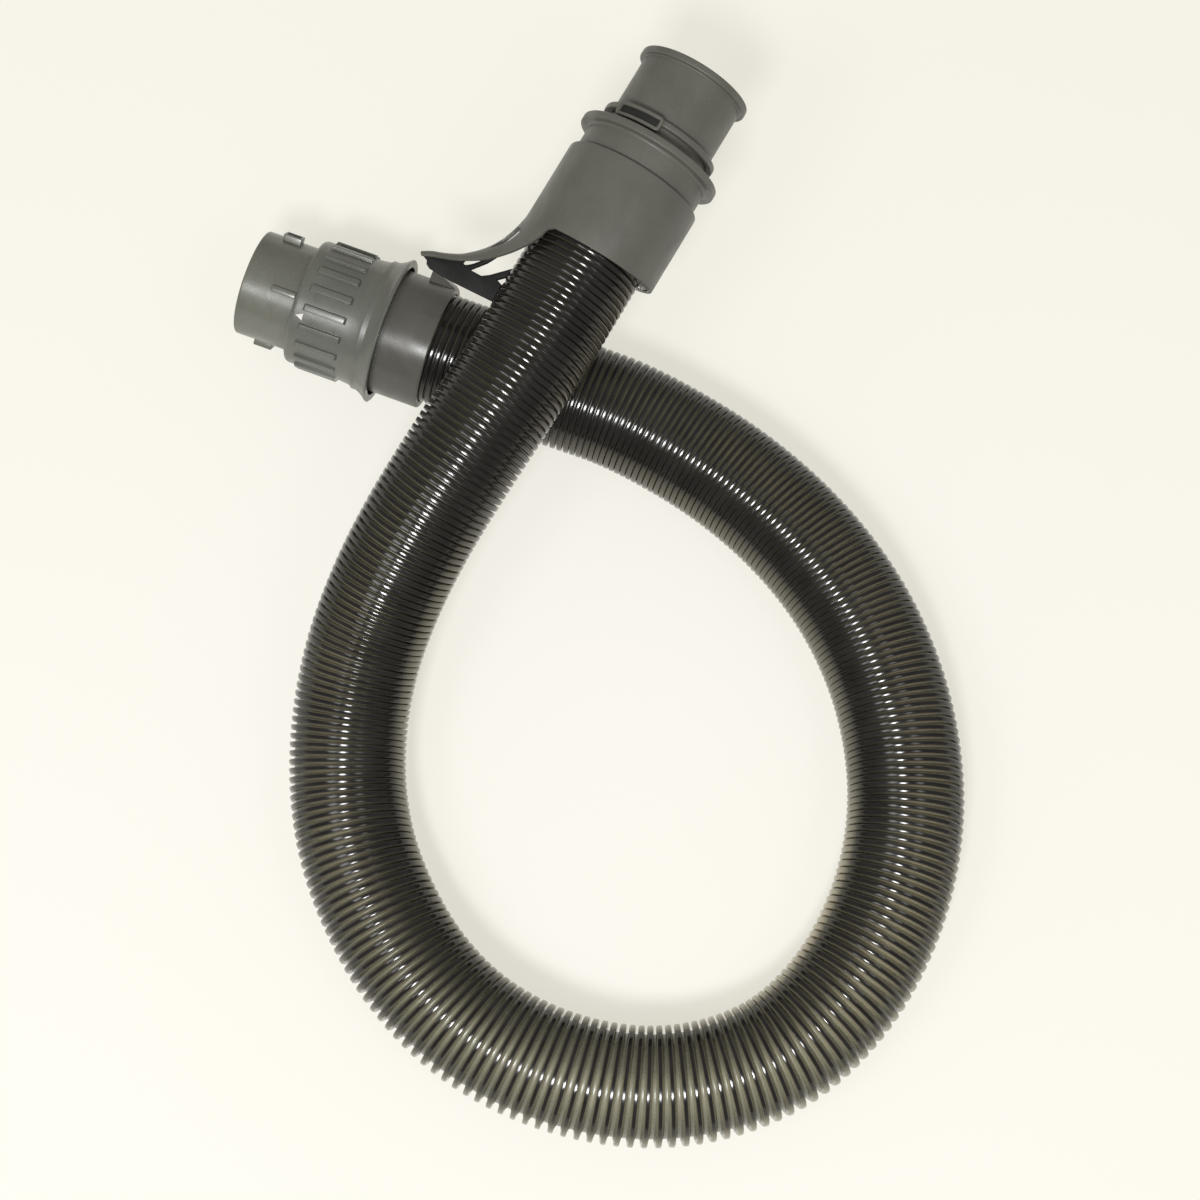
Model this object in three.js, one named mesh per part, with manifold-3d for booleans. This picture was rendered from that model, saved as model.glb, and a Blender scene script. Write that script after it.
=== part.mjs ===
// A household vacuum cleaner's stretch hose. The ribbed hose lies in one loop on the floor and
// crosses over itself. One end holds the wand fitting, the other the machine fitting with its horn.
// Millimetres, +Z up. The origin is on the floor, under the middle of the two end fittings.
import * as THREE from "three";
import { mergeVertices } from "three/addons/utils/BufferGeometryUtils.js";
import Module from "manifold-3d";

const wasm = await Module();
wasm.setup();

// ---------------------------------------------------------------- driving dimensions

const GAP = 0.3; // between pieces that touch or turn on each other
const SEGMENTS = 32; // sides of a visible round piece
const INNER_SEGMENTS = 24; // sides of a hidden round piece
const ROOT = 1; // how far a raised detail is sunk into the wall that carries it
const SPARE = 5; // how far a cutting shape reaches past what it cuts

// The hose's centre line, from the machine fitting over the crossing, round the loop and under it
// into the wand fitting. The first three and last three points are straight runs.
const ROUTE = [
  [57.1, -1.1, 89.2],
  [44.3, -22.4, 86.2],
  [31.6, -43.7, 83.1],
  [18.4, -65.9, 79.9],
  [2.7, -89.6, 75.6],
  [-13, -112.7, 69],
  [-28, -135.4, 59.8],
  [-41.1, -158.8, 48.9],
  [-51.2, -183.3, 38.3],
  [-57, -210, 29.9],
  [-57.8, -238, 25.7],
  [-53, -266, 25],
  [-42.2, -293, 25],
  [-27, -317.5, 25],
  [-7, -338, 25],
  [17.5, -353, 25],
  [44.7, -362.2, 25],
  [73.2, -365.2, 25],
  [101.6, -360.8, 25],
  [127.4, -349, 25],
  [148.6, -329.5, 25],
  [164.3, -305.5, 25],
  [174.8, -278.8, 25],
  [179.9, -250.5, 25],
  [179.3, -222, 25],
  [173.7, -194, 25],
  [163.2, -167, 25],
  [148.4, -142.4, 25],
  [129.8, -120.4, 25],
  [108.4, -101.3, 25.1],
  [84.6, -85.1, 25.6],
  [59.3, -71.8, 27],
  [33.2, -62.2, 28.4],
  [7.9, -53.2, 29.9],
  [-15.7, -44.8, 31.4],
  [-39.2, -36.4, 32.9],
];

const HOSE_OUTER = 50; // over the rib crests
const RIB_DEPTH = 2.4;
const HOSE_BORE = 41;
const RIB_COUNT = 200;
const RIB_POINTS = 8; // round each ring
const RIBS_PER_BORE_RING = 5;
const BEND_STRETCH = 0.5; // how much further apart the ribs stand at the far bend
const BEND_PLACE = 0.47; // where that bend is, as a share of the ribs
const BEND_SPREAD = 0.13;

// Both hose ends: a flanged insert stands inside the hose.
const INSERT_LENGTH = 18;
const INSERT_WALL = 1.8;
const INSERT_FLANGE = 2.4;

// Wand fitting. Lengths run outwards from the hose's end.
const CUFF_GRIP = 17.9; // of the cuff over the hose
const CUFF_WALL = 2.9;
const CUFF_END_WALL = 3;
const CUFF_CHAMFER = 0.5;
const TAB_SETBACK = 9.5; // from the collar's rim
const TAB_LAND = 2; // flat part at the tab's high end
const TAB_LENGTH = 12;
const TAB_WIDTH = 9;
const TAB_RISE = 4.2;
const TAB_ANGLE = 63; // from the top, towards the far side
const SPIGOT_PLAY = 1.5; // of the spigot in the cuff's bore
const SPIGOT_WALL = 2.5;
const SPIGOT_REACH = 25; // out of the collar
const RIM_MIDDLE = 5; // flared rim's middle from the hose's end
const COLLAR_LENGTH = 40; // from the flared rim's middle to the front edge
const COLLAR_WALL = 4.2;
const COLLAR_ROUND = 2; // front edge
const SKIRT_PLAY = 1.7; // of the collar's skirt round the cuff
const RIM_THICKNESS = 1.6;
const RIM_WALL = 3.4;
const RIM_ROUND = 0.4;
const FLARE_LENGTH = 14;
const FLARE_CURVE = 2.3; // a higher value keeps the flare closer to the rim
const BAR_COUNT = 20;
const BAR_LENGTH = 21;
const BAR_WIDTH = 3;
const BAR_RISE = 1.2;
const BAR_BEVEL = 1.2;
const BAR_SETBACK = 4.5; // from the collar's front edge
const BAR_PHASE = -6; // degrees from the top
const KEY_LENGTH = 11.2;
const KEY_WIDTH = 2.7;
const KEY_RISE = 1.4;
const KEY_ANGLE = -17.5;
const LUG_LENGTH = 7;
const LUG_WIDTH = 5;
const LUG_RISE = 2.4;
const LUG_SETBACK = 12.2; // lug's middle from the spigot's end
const LUG_ANGLE = 56;
const LUG_POCKET = [3.2, 2.6, 1.4]; // length, width, depth
const MARK_SIZE = 3.2; // triangle's length and base
const MARK_THICKNESS = 0.5;
const MARK_PROUD = 0.2;
const MARK_SETBACK = 2.8; // triangle's tip from the collar's front edge
const MARK_ANGLE = -33;

// Machine fitting. Lengths run outwards from the hose's end.
const DUCT_OUTER = 47.2;
const DUCT_WALL = 2.4;
const DUCT_RIM_RISE = 2.3;
const DUCT_RIM_THICKNESS = 3.2;
const DUCT_REACH = 38; // of the duct tube out of the flange
const SLEEVE_WALL = 2.1;
const SLEEVE_END_WALL = 3.9;
const SLEEVE_MOUTH = 24.2; // mouth's side from the hose's end
const SLEEVE_ROUND = 1;
const MOUTH_SLOPE = 6.2; // degrees by which the mouth leans out at the top
const NECK_OUTER = 57.2;
const NECK_LENGTH = 9.4;
const NECK_FLARE = 1; // where the neck meets the flange
const FLANGE_OUTER = 65.6;
const FLANGE_THICKNESS = 3.3;
const INNER_CUFF_GRIP = 22.5;
const INNER_CUFF_WALL = 3.4;
const INNER_CUFF_END_WALL = 2;
const EDGE = 0.8; // chamfer of the flange, the catch ring and the duct's rim
const CATCH_RING_WALL = 2.9;
const CATCH_RING_THICKNESS = 2.8;
const CATCH_RING_SETBACK = 6.6; // from the flange
const LOOP_LENGTH = 23;
const LOOP_HEIGHT = 7.8;
const LOOP_BAR = 1.9;
const LOOP_CORNER = 1.6;
const LOOP_RISE = 3.2; // over the catch ring
const LOOP_ANGLE = -15;
const SCREW_HEAD = 3.2;
const SCREW_SHAFT = 1.8;
const SCREW_HEAD_HEIGHT = 1.8;
const SCREW_LENGTH = 12;
const SCREW_ANGLES = { sleeve_screw_right: 80, sleeve_screw_left: -100 };
const EAR_THICKNESS = 2;
const EAR_WIDTH = 6;
const EAR_HOSE_GAP = 0.5;

// Both swivels: a snap ring in a groove, a lip seal and a bearing ring.
const GROOVE_DEPTH = 0.8;
const SNAP_RING = 1.6; // thickness
const LIP_SEAL = 2.1;
const BEARING_RING = 1;
const BEARING_DEPTH = 2.5; // of its outer edge under the neck's surface

// Horn, in its middle plane, as [left of the sleeve's side, outwards from the sleeve's mouth]. The
// edge runs from the sleeve to the tip, with the radius of the strap's rounded section as a share of
// the sleeve's, and the angle of the strap's upper edge from the middle plane.
const HORN_EDGE = [
  [-0.2, 7.2, 0.99, 70],
  [0, 2.7, 0.985, 68],
  [0.7, -2.4, 0.96, 62],
  [2.2, -7.9, 0.74, 67],
  [4.6, -13.2, 0.52, 69],
  [8.4, -18.8, 0.39, 68],
  [13.2, -23.5, 0.28, 66],
  [16.7, -26.2, 0.22, 62],
  [22.5, -29, 0.16, 64],
  [28.3, -31.2, 0.13, 68],
  [32.1, -33.4, 0.1, 70],
];
const STRAP_THICKNESS = 1.8;
const STRAP_LOW_ANGLE = -12; // of its lower edge, from the middle plane
const STRAP_STEPS = 6;
const WEB_THICKNESS = 2.4;
const WEB_HOSE_GAP = 0.8;
const WEB_START = 4; // station of the horn's edge where the web leaves the strap
const WEB_INSET = [0.6, 0.4]; // web's edge from the strap's outer face
const WEB_TIP = [
  [32.2, -34.2],
  [28, -35.7],
  [27.2, -37.3],
  [25.5, -38.2],
  [15.8, -38.5],
];
const WEB_HOSE_SIDE = [ // from the web's foot to the strap
  [-5.3, -37.3],
  [-4.7, -29.3],
  [-2.5, -28.2],
  [-4.7, -24.4],
  [-4.7, -20.8],
  [1.1, -28],
  [4, -30.1],
  [9.6, -30.2],
  [4.8, -24],
  [2.7, -20],
  [3.1, -16],
];
const WEB_WINDOW = [
  [13.7, -28.9],
  [12.7, -29.4],
  [10.5, -27.9],
  [8, -25],
  [6.5, -22.4],
  [10.1, -24.4],
  [13.2, -27],
];

// ---------------------------------------------------------------- materials

const plastic = (color, roughness) => new THREE.MeshStandardMaterial({ color, roughness, metalness: 0 });
const GREY = plastic(0x66665e, 0.5);
const COOL_GREY = plastic(0x5c5f5c, 0.5);
const HORN_GREY = plastic(0x5f605a, 0.5);
const HOSE_BLACK = plastic(0x24231f, 0.25);
const SEAL_BLACK = plastic(0x161616, 0.8);
const NATURAL = plastic(0xcfc9b6, 0.5);
const WHITE = plastic(0xf0efe8, 0.6);
const STEEL = new THREE.MeshStandardMaterial({ color: 0x9a9a98, roughness: 0.35, metalness: 1 });

// ---------------------------------------------------------------- shape helpers

const radians = THREE.MathUtils.degToRad;

// A ring or tube about Y from a closed profile of [radius, along], listed anticlockwise.
function revolve(profile, segments = SEGMENTS) {
  const points = [...profile, profile[0]].map(([r, y]) => new THREE.Vector2(r, y));
  return new THREE.LatheGeometry(points, segments);
}

// A plain tube about Y.
function tube(inner, outer, from, to, segments = INNER_SEGMENTS) {
  return revolve([[inner, from], [outer, from], [outer, to], [inner, to]], segments);
}

// A flat plate of an outline in X and Y, with its thickness centred on Z = 0.
function plate(outline, thickness, hole) {
  const shape = new THREE.Shape(outline.map(([x, y]) => new THREE.Vector2(x, y)));
  if (hole) shape.holes.push(new THREE.Path(hole.map(([x, y]) => new THREE.Vector2(x, y))));
  const options = { depth: thickness, bevelEnabled: false };
  return new THREE.ExtrudeGeometry(shape, options).translate(0, 0, -thickness / 2);
}

// An outer edge rounded over a size, as three points of a profile, from its side to its end.
function roundedEdge(radius, end, size) {
  const share = 1 - Math.SQRT1_2;
  return [[radius, end - size], [radius - share * size, end - share * size], [radius - size, end]];
}

// Turns a shape whose outward direction is +X to stand at an angle about Y, counted from the top.
const standAt = (geometry, degrees) => geometry.rotateY(radians(degrees - 90));

function box(x, y, z) {
  const [width, height, depth] = [x, y, z].map(([low, high]) => high - low);
  const [cx, cy, cz] = [x, y, z].map(([low, high]) => (low + high) / 2);
  return new THREE.BoxGeometry(width, height, depth).translate(cx, cy, cz);
}

function solid(geometry) {
  const bare = geometry.index ? geometry.toNonIndexed() : geometry.clone();
  bare.deleteAttribute("normal");
  bare.deleteAttribute("uv");
  const merged = mergeVertices(bare, 1e-3);
  const vertProperties = merged.attributes.position.array;
  const triVerts = new Uint32Array(merged.index.array);
  return new wasm.Manifold(new wasm.Mesh({ numProp: 3, vertProperties, triVerts }));
}

function geometryOf(shape) {
  const mesh = shape.getMesh();
  const geometry = new THREE.BufferGeometry();
  geometry.setAttribute("position", new THREE.BufferAttribute(mesh.vertProperties, 3));
  geometry.setIndex(new THREE.BufferAttribute(mesh.triVerts, 1));
  geometry.computeVertexNormals();
  return geometry;
}

const join = (base, ...more) => more.reduce((all, one) => all.add(solid(one)), base);
const cut = (base, ...tools) => tools.reduce((left, one) => left.subtract(solid(one)), base);

// Skins a row of closed rings of points. The last ring joins the first where the row is closed.
function skin(rings, closed) {
  const count = rings[0].length;
  const positions = rings.flat().flatMap((p) => p.toArray());
  const index = [];
  const rows = closed ? rings.length : rings.length - 1;
  for (let row = 0; row < rows; row += 1) {
    const next = (row + 1) % rings.length;
    for (let k = 0; k < count; k += 1) {
      const after = (k + 1) % count;
      const [a, b] = [row * count + k, row * count + after];
      const [c, d] = [next * count + k, next * count + after];
      index.push(a, d, b, a, c, d);
    }
  }
  const geometry = new THREE.BufferGeometry();
  geometry.setAttribute("position", new THREE.Float32BufferAttribute(positions, 3));
  geometry.setIndex(index);
  return { geometry, index };
}

const root = new THREE.Group();

function addPiece(group, name, shape, material) {
  const geometry = shape.isBufferGeometry ? shape : geometryOf(shape);
  const mesh = new THREE.Mesh(geometry, material);
  mesh.name = name;
  group.add(mesh);
}

// ---------------------------------------------------------------- hose

const route = new THREE.CatmullRomCurve3(ROUTE.map((p) => new THREE.Vector3(...p)), false, "centripetal");
route.arcLengthDivisions = 3000;
const hoseLength = route.getLength();
const UP = new THREE.Vector3(0, 0, 1);

// Points round the hose at a distance along it. One of them is straight below the centre line.
function hoseRing(distance, radius) {
  const share = THREE.MathUtils.clamp(distance / hoseLength, 0, 1);
  const centre = route.getPointAt(share);
  const along = route.getTangentAt(share);
  const side = new THREE.Vector3().crossVectors(along, UP).normalize();
  const over = new THREE.Vector3().crossVectors(side, along);
  return Array.from({ length: RIB_POINTS }, (_, k) => {
    const turn = (2 * Math.PI * k) / RIB_POINTS;
    const point = centre.clone().addScaledVector(side, radius * Math.cos(turn));
    return point.addScaledVector(over, radius * Math.sin(turn));
  });
}

// Where each rib starts. The ribs stand further apart round the far bend, as the hose is pulled there.
function ribStarts() {
  const widths = Array.from({ length: RIB_COUNT }, (_, i) => {
    const fromBend = ((i + 0.5) / RIB_COUNT - BEND_PLACE) / BEND_SPREAD;
    return 1 + BEND_STRETCH * Math.exp(-fromBend * fromBend);
  });
  const total = widths.reduce((sum, width) => sum + width, 0);
  const starts = [0];
  widths.forEach((width, i) => starts.push(starts[i] + (width * hoseLength) / total));
  return starts;
}

function stretchHose() {
  const crest = HOSE_OUTER / 2;
  const starts = ribStarts();
  const outer = [];
  const bore = [];
  for (let i = 0; i < RIB_COUNT; i += 1) {
    outer.push(hoseRing(starts[i], crest - RIB_DEPTH));
    outer.push(hoseRing((starts[i] + starts[i + 1]) / 2, crest));
    if (i % RIBS_PER_BORE_RING === 0) bore.push(hoseRing(starts[i], HOSE_BORE / 2));
  }
  outer.push(hoseRing(hoseLength, crest - RIB_DEPTH));
  bore.push(hoseRing(hoseLength, HOSE_BORE / 2));
  return skin([...outer, ...bore.reverse()], true).geometry;
}

addPiece(root, "stretch_hose", stretchHose(), HOSE_BLACK);

// ---------------------------------------------------------------- frames of the two fittings

// A group at one end of the hose: +Y outwards along the hose, +X to the right of it, +Z up.
function endGroup(end, before) {
  const outwards = new THREE.Vector3(...end).sub(new THREE.Vector3(...before)).normalize();
  const right = new THREE.Vector3().crossVectors(outwards, UP).normalize();
  const over = new THREE.Vector3().crossVectors(right, outwards);
  const group = new THREE.Group();
  group.quaternion.setFromRotationMatrix(new THREE.Matrix4().makeBasis(right, outwards, over));
  group.position.set(...end);
  root.add(group);
  return group;
}

const wand = endGroup(ROUTE.at(-1), ROUTE.at(-2));
const machine = endGroup(ROUTE[0], ROUTE[1]);

// ---------------------------------------------------------------- pieces that both ends have

const hoseRadius = HOSE_OUTER / 2;
const insertOuter = (HOSE_BORE / 2) * Math.cos(Math.PI / RIB_POINTS) - GAP;
const tailStart = GAP + INSERT_FLANGE + GAP; // the swivelling tube's inner end
const snapRingAt = tailStart + GROOVE_DEPTH;

function ferrule() {
  const inner = insertOuter - INSERT_WALL;
  return revolve([
    [inner, -INSERT_LENGTH],
    [insertOuter, -INSERT_LENGTH],
    [insertOuter, GAP],
    [hoseRadius, GAP],
    [hoseRadius, GAP + INSERT_FLANGE],
    [inner, GAP + INSERT_FLANGE],
  ], INNER_SEGMENTS);
}

// The inner end of a swivelling tube's profile, with the snap ring's groove, up to a length along.
function groovedTail(inner, outer, at) {
  return [
    [inner, tailStart],
    [outer, tailStart],
    [outer, at - GAP],
    [outer - GROOVE_DEPTH, at - GAP],
    [outer - GROOVE_DEPTH, at + SNAP_RING + GAP],
    [outer, at + SNAP_RING + GAP],
  ];
}

const snapRing = (tubeRadius, outer, at) => tube(tubeRadius - GROOVE_DEPTH + GAP, outer, at, at + SNAP_RING);

// ---------------------------------------------------------------- wand fitting

const cuffBore = hoseRadius + GAP;
const cuffRadius = cuffBore + CUFF_WALL;
const spigotRadius = cuffBore - SPIGOT_PLAY;
const spigotBore = spigotRadius - SPIGOT_WALL;
const wandSealAt = snapRingAt + SNAP_RING + GAP;
const cuffWallAt = wandSealAt + LIP_SEAL + GAP;
const cuffFront = cuffWallAt + CUFF_END_WALL;
const wandBearingAt = cuffFront + GAP;
const collarShoulder = wandBearingAt + BEARING_RING + GAP;
const skirtBore = cuffRadius + SKIRT_PLAY;
const rimRadius = skirtBore + RIM_WALL;
const rimBack = RIM_MIDDLE - RIM_THICKNESS / 2;
const rimFront = RIM_MIDDLE + RIM_THICKNESS / 2;
const collarBore = spigotRadius + GAP;
const collarRadius = collarBore + COLLAR_WALL;
const collarFront = RIM_MIDDLE + COLLAR_LENGTH;
const spigotEnd = collarFront + SPIGOT_REACH;

function wandSpigot() {
  const body = solid(revolve([
    ...groovedTail(spigotBore, spigotRadius, snapRingAt),
    [spigotRadius, spigotEnd],
    [spigotBore, spigotEnd],
  ]));
  const key = box(
    [spigotRadius - ROOT, spigotRadius + KEY_RISE],
    [collarFront + GAP, collarFront + GAP + KEY_LENGTH],
    [-KEY_WIDTH / 2, KEY_WIDTH / 2],
  );
  const lugMiddle = spigotEnd - LUG_SETBACK;
  const lugTop = spigotRadius + LUG_RISE;
  const lug = () => box(
    [spigotRadius - ROOT, lugTop],
    [lugMiddle - LUG_LENGTH / 2, lugMiddle + LUG_LENGTH / 2],
    [-LUG_WIDTH / 2, LUG_WIDTH / 2],
  );
  const [pocketLength, pocketWidth, pocketDepth] = LUG_POCKET;
  const pocket = () => box(
    [lugTop - pocketDepth, lugTop + SPARE],
    [lugMiddle - pocketLength / 2, lugMiddle + pocketLength / 2],
    [-pocketWidth / 2, pocketWidth / 2],
  );
  const lugAngles = [LUG_ANGLE, LUG_ANGLE + 180];
  const joined = join(body, standAt(key, KEY_ANGLE), ...lugAngles.map((angle) => standAt(lug(), angle)));
  return cut(joined, ...lugAngles.map((angle) => standAt(pocket(), angle)));
}

// A triangular prism that points outwards along the fitting, on the collar's surface.
function markPrism(grow, low, high) {
  const tip = collarFront - MARK_SETBACK + grow;
  const back = tip - MARK_SIZE - 2 * grow;
  const half = MARK_SIZE / 2 + grow;
  const flat = plate([[0, tip], [-half, back], [half, back]], high - low);
  return standAt(flat.rotateY(Math.PI / 2).translate((low + high) / 2, 0, 0), MARK_ANGLE);
}

const markTop = collarRadius + MARK_PROUD;
const markBottom = markTop - MARK_THICKNESS;

function gripCollar() {
  const rimEdge = rimRadius - RIM_ROUND;
  const flare = [1, 0.85, 0.65, 0.35, 0].map((share) => {
    const rise = (rimEdge - collarRadius) * share ** FLARE_CURVE;
    return [collarRadius + rise, rimFront + FLARE_LENGTH * (1 - share)];
  });
  const body = solid(revolve([
    [collarBore, collarShoulder],
    [skirtBore, collarShoulder],
    [skirtBore, rimBack],
    [rimEdge, rimBack],
    [rimRadius, RIM_MIDDLE],
    ...flare,
    ...roundedEdge(collarRadius, collarFront, COLLAR_ROUND),
    [collarBore, collarFront],
  ]));
  const barEnd = collarFront - BAR_SETBACK;
  const barStart = barEnd - BAR_LENGTH;
  const barTop = collarRadius + BAR_RISE;
  const bar = () => plate([
    [collarRadius - ROOT, barStart],
    [collarRadius, barStart],
    [barTop, barStart + BAR_BEVEL],
    [barTop, barEnd - BAR_BEVEL],
    [collarRadius, barEnd],
    [collarRadius - ROOT, barEnd],
  ], BAR_WIDTH);
  const bars = Array.from({ length: BAR_COUNT }, (_, i) => standAt(bar(), BAR_PHASE + (360 * i) / BAR_COUNT));
  return cut(join(body, ...bars), markPrism(GAP, markBottom - GAP, markTop + SPARE));
}

function wandCuff() {
  const body = solid(revolve([
    [cuffBore, -CUFF_GRIP],
    [cuffRadius - CUFF_CHAMFER, -CUFF_GRIP],
    [cuffRadius, CUFF_CHAMFER - CUFF_GRIP],
    [cuffRadius, cuffFront],
    [collarBore, cuffFront],
    [collarBore, cuffWallAt],
    [cuffBore, cuffWallAt],
  ]));
  const tabFront = rimBack - TAB_SETBACK;
  const tabBack = tabFront - TAB_LENGTH;
  const tab = plate([
    [cuffRadius - ROOT, tabBack],
    [cuffRadius, tabBack],
    [cuffRadius + TAB_RISE, tabFront - TAB_LAND],
    [cuffRadius + TAB_RISE, tabFront],
    [cuffRadius - ROOT, tabFront],
  ], TAB_WIDTH);
  return join(body, standAt(tab, TAB_ANGLE));
}

addPiece(wand, "wand_cuff", wandCuff(), GREY);
addPiece(wand, "grip_collar", gripCollar(), COOL_GREY);
addPiece(wand, "wand_spigot", wandSpigot(), GREY);
addPiece(wand, "wand_ferrule", ferrule(), NATURAL);
addPiece(wand, "wand_snap_ring", snapRing(spigotRadius, hoseRadius, snapRingAt), STEEL);
addPiece(wand, "wand_lip_seal", tube(collarBore, hoseRadius, wandSealAt, wandSealAt + LIP_SEAL), SEAL_BLACK);
addPiece(
  wand,
  "wand_bearing_ring",
  tube(collarBore, cuffRadius - GAP, wandBearingAt, wandBearingAt + BEARING_RING),
  NATURAL,
);
addPiece(wand, "alignment_mark", markPrism(0, markBottom, markTop), WHITE);

// ---------------------------------------------------------------- machine fitting

const ductRadius = DUCT_OUTER / 2;
const ductBore = ductRadius - DUCT_WALL;
const journalBore = ductRadius + GAP;
const innerCuffBore = hoseRadius + GAP;
const innerCuffRadius = innerCuffBore + INNER_CUFF_WALL;
const innerCuffFront = tailStart + INNER_CUFF_END_WALL;
const sleeveBore = innerCuffRadius + GAP;
const sleeveRadius = sleeveBore + SLEEVE_WALL;
const machineSealAt = innerCuffFront + GAP;
const machineSnapAt = machineSealAt + LIP_SEAL + GAP;
const sleeveWallAt = machineSnapAt + SNAP_RING + GAP;
const sleeveFront = sleeveWallAt + SLEEVE_END_WALL;
const machineBearingAt = sleeveFront + GAP;
const neckAt = machineBearingAt + BEARING_RING + GAP;
const flangeAt = neckAt + NECK_LENGTH;
const flangeFront = flangeAt + FLANGE_THICKNESS;
const ductEnd = flangeFront + DUCT_REACH;
const screwCircle = innerCuffBore + INNER_CUFF_WALL / 2;
const earFront = -INNER_CUFF_GRIP - GAP;
const earBack = earFront - EAR_THICKNESS;

function ductTube() {
  const rim = ductRadius + DUCT_RIM_RISE;
  const rimStart = ductEnd - DUCT_RIM_THICKNESS;
  return revolve([
    ...groovedTail(ductBore, ductRadius, machineSnapAt),
    [ductRadius, rimStart],
    [rim - EDGE, rimStart],
    [rim, rimStart + EDGE],
    [rim, ductEnd - EDGE],
    [rim - EDGE, ductEnd],
    [ductBore, ductEnd],
  ]);
}

function swivelFlange() {
  const neck = NECK_OUTER / 2;
  const flange = FLANGE_OUTER / 2;
  return revolve([
    [journalBore, neckAt],
    [neck, neckAt],
    [neck, flangeAt - NECK_FLARE],
    [neck + NECK_FLARE, flangeAt],
    [flange - EDGE, flangeAt],
    [flange, flangeAt + EDGE],
    [flange, flangeFront - EDGE],
    [flange - EDGE, flangeFront],
    [journalBore, flangeFront],
  ]);
}

// A rectangle with its corners cut off, as long as the loop and centred on a height.
function loopOutline(middle, inset, corner) {
  const [side, half] = [LOOP_LENGTH / 2 - inset, LOOP_HEIGHT / 2 - inset];
  const quarter = [[side, half - corner], [side - corner, half]];
  const signs = [[1, 1], [-1, 1], [-1, -1], [1, -1]];
  return signs.flatMap(([sx, sy]) => {
    const points = quarter.map(([x, y]) => [sx * x, middle + sy * y]);
    return sx * sy > 0 ? points : points.reverse();
  });
}

function catchRing() {
  const radius = journalBore + CATCH_RING_WALL;
  const from = flangeFront + CATCH_RING_SETBACK;
  const to = from + CATCH_RING_THICKNESS;
  const middle = (from + to) / 2;
  const ring = solid(revolve([
    [journalBore, from],
    [radius - EDGE, from],
    [radius, from + EDGE],
    [radius, to - EDGE],
    [radius - EDGE, to],
    [journalBore, to],
  ]));
  const loopTop = radius + LOOP_RISE;
  const half = LOOP_HEIGHT / 2;
  const band = solid(tube(journalBore, loopTop, middle - half, middle + half, SEGMENTS));
  const standing = (inset, corner) => {
    const block = plate(loopOutline(middle, inset, corner), loopTop + SPARE);
    return block.translate(0, 0, (loopTop + SPARE) / 2).rotateY(radians(LOOP_ANGLE));
  };
  const loop = band.intersect(solid(standing(0, LOOP_CORNER)));
  return cut(ring.add(loop), standing(LOOP_BAR, LOOP_CORNER / 2));
}

// A point of the horn's middle plane, in the fitting's frame.
const hornPoint = ([left, y]) => [-sleeveRadius - left, y - SLEEVE_MOUTH];

// The strap's section at a point of the horn's edge: an arc that faces outwards, and its inner side.
function strapRing(station, before, after) {
  const bend = station[2] * sleeveRadius;
  const along = new THREE.Vector3(before[0] - after[0], after[1] - before[1], 0).normalize();
  const outwards = new THREE.Vector3(along.y, -along.x, 0);
  const edge = new THREE.Vector3(...hornPoint(station), 0);
  const spread = station[3] - STRAP_LOW_ANGLE;
  const arc = (radius) => Array.from({ length: STRAP_STEPS + 1 }, (_, k) => {
    const turn = radians(STRAP_LOW_ANGLE + (spread * k) / STRAP_STEPS);
    const point = edge.clone().addScaledVector(outwards, radius * Math.cos(turn) - bend);
    return point.setZ(radius * Math.sin(turn));
  });
  return [...arc(bend), ...arc(bend - STRAP_THICKNESS).reverse()];
}

function hornStrap() {
  const rings = HORN_EDGE.map((station, i) => {
    const before = HORN_EDGE[Math.max(i - 1, 0)];
    const after = HORN_EDGE[Math.min(i + 1, HORN_EDGE.length - 1)];
    return strapRing(station, before, after);
  });
  const { geometry, index } = skin(rings, false);
  const count = rings[0].length;
  const last = (rings.length - 1) * count;
  for (let k = 0; k < STRAP_STEPS; k += 1) {
    const [a, b, c, d] = [k, k + 1, count - 2 - k, count - 1 - k];
    index.push(a, b, c, a, c, d);
    index.push(last + a, last + c, last + b, last + a, last + d, last + c);
  }
  geometry.setIndex(index);
  return geometry;
}

function hornWeb() {
  const [insetLeft, insetBack] = WEB_INSET;
  const inside = HORN_EDGE.slice(WEB_START, -1).map(([left, y]) => [left - insetLeft, y - insetBack]);
  const clearOfHose = ([x, y]) => [Math.min(x, -hoseRadius - WEB_HOSE_GAP), y];
  const outline = [
    ...[...inside, ...WEB_TIP].map(hornPoint),
    ...WEB_HOSE_SIDE.map(hornPoint).map(clearOfHose),
  ];
  return plate(outline, WEB_THICKNESS, WEB_WINDOW.map(hornPoint));
}

function hornSleeve() {
  const lean = sleeveRadius * Math.tan(radians(MOUTH_SLOPE));
  const longest = SLEEVE_MOUTH + lean + SPARE;
  const body = solid(revolve([
    [sleeveBore, -longest],
    [sleeveRadius, -longest],
    ...roundedEdge(sleeveRadius, sleeveFront, SLEEVE_ROUND),
    [journalBore, sleeveFront],
    [journalBore, sleeveWallAt],
    [sleeveBore, sleeveWallAt],
  ]));
  const reach = sleeveRadius + SPARE;
  const beyond = box([-reach, reach], [-2 * (lean + SPARE), 0], [-2 * reach, 2 * reach]);
  beyond.rotateX(radians(MOUTH_SLOPE)).translate(0, -SLEEVE_MOUTH, 0);
  const ears = Object.values(SCREW_ANGLES).map((angle) => standAt(box(
    [hoseRadius + EAR_HOSE_GAP, sleeveBore + SLEEVE_WALL / 2],
    [earBack, earFront],
    [-EAR_WIDTH / 2, EAR_WIDTH / 2],
  ), angle));
  const whole = join(cut(body, beyond), hornStrap(), hornWeb(), ...ears);
  return cut(whole, ...screwHoles(earBack - ROOT, earFront + ROOT));
}

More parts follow.
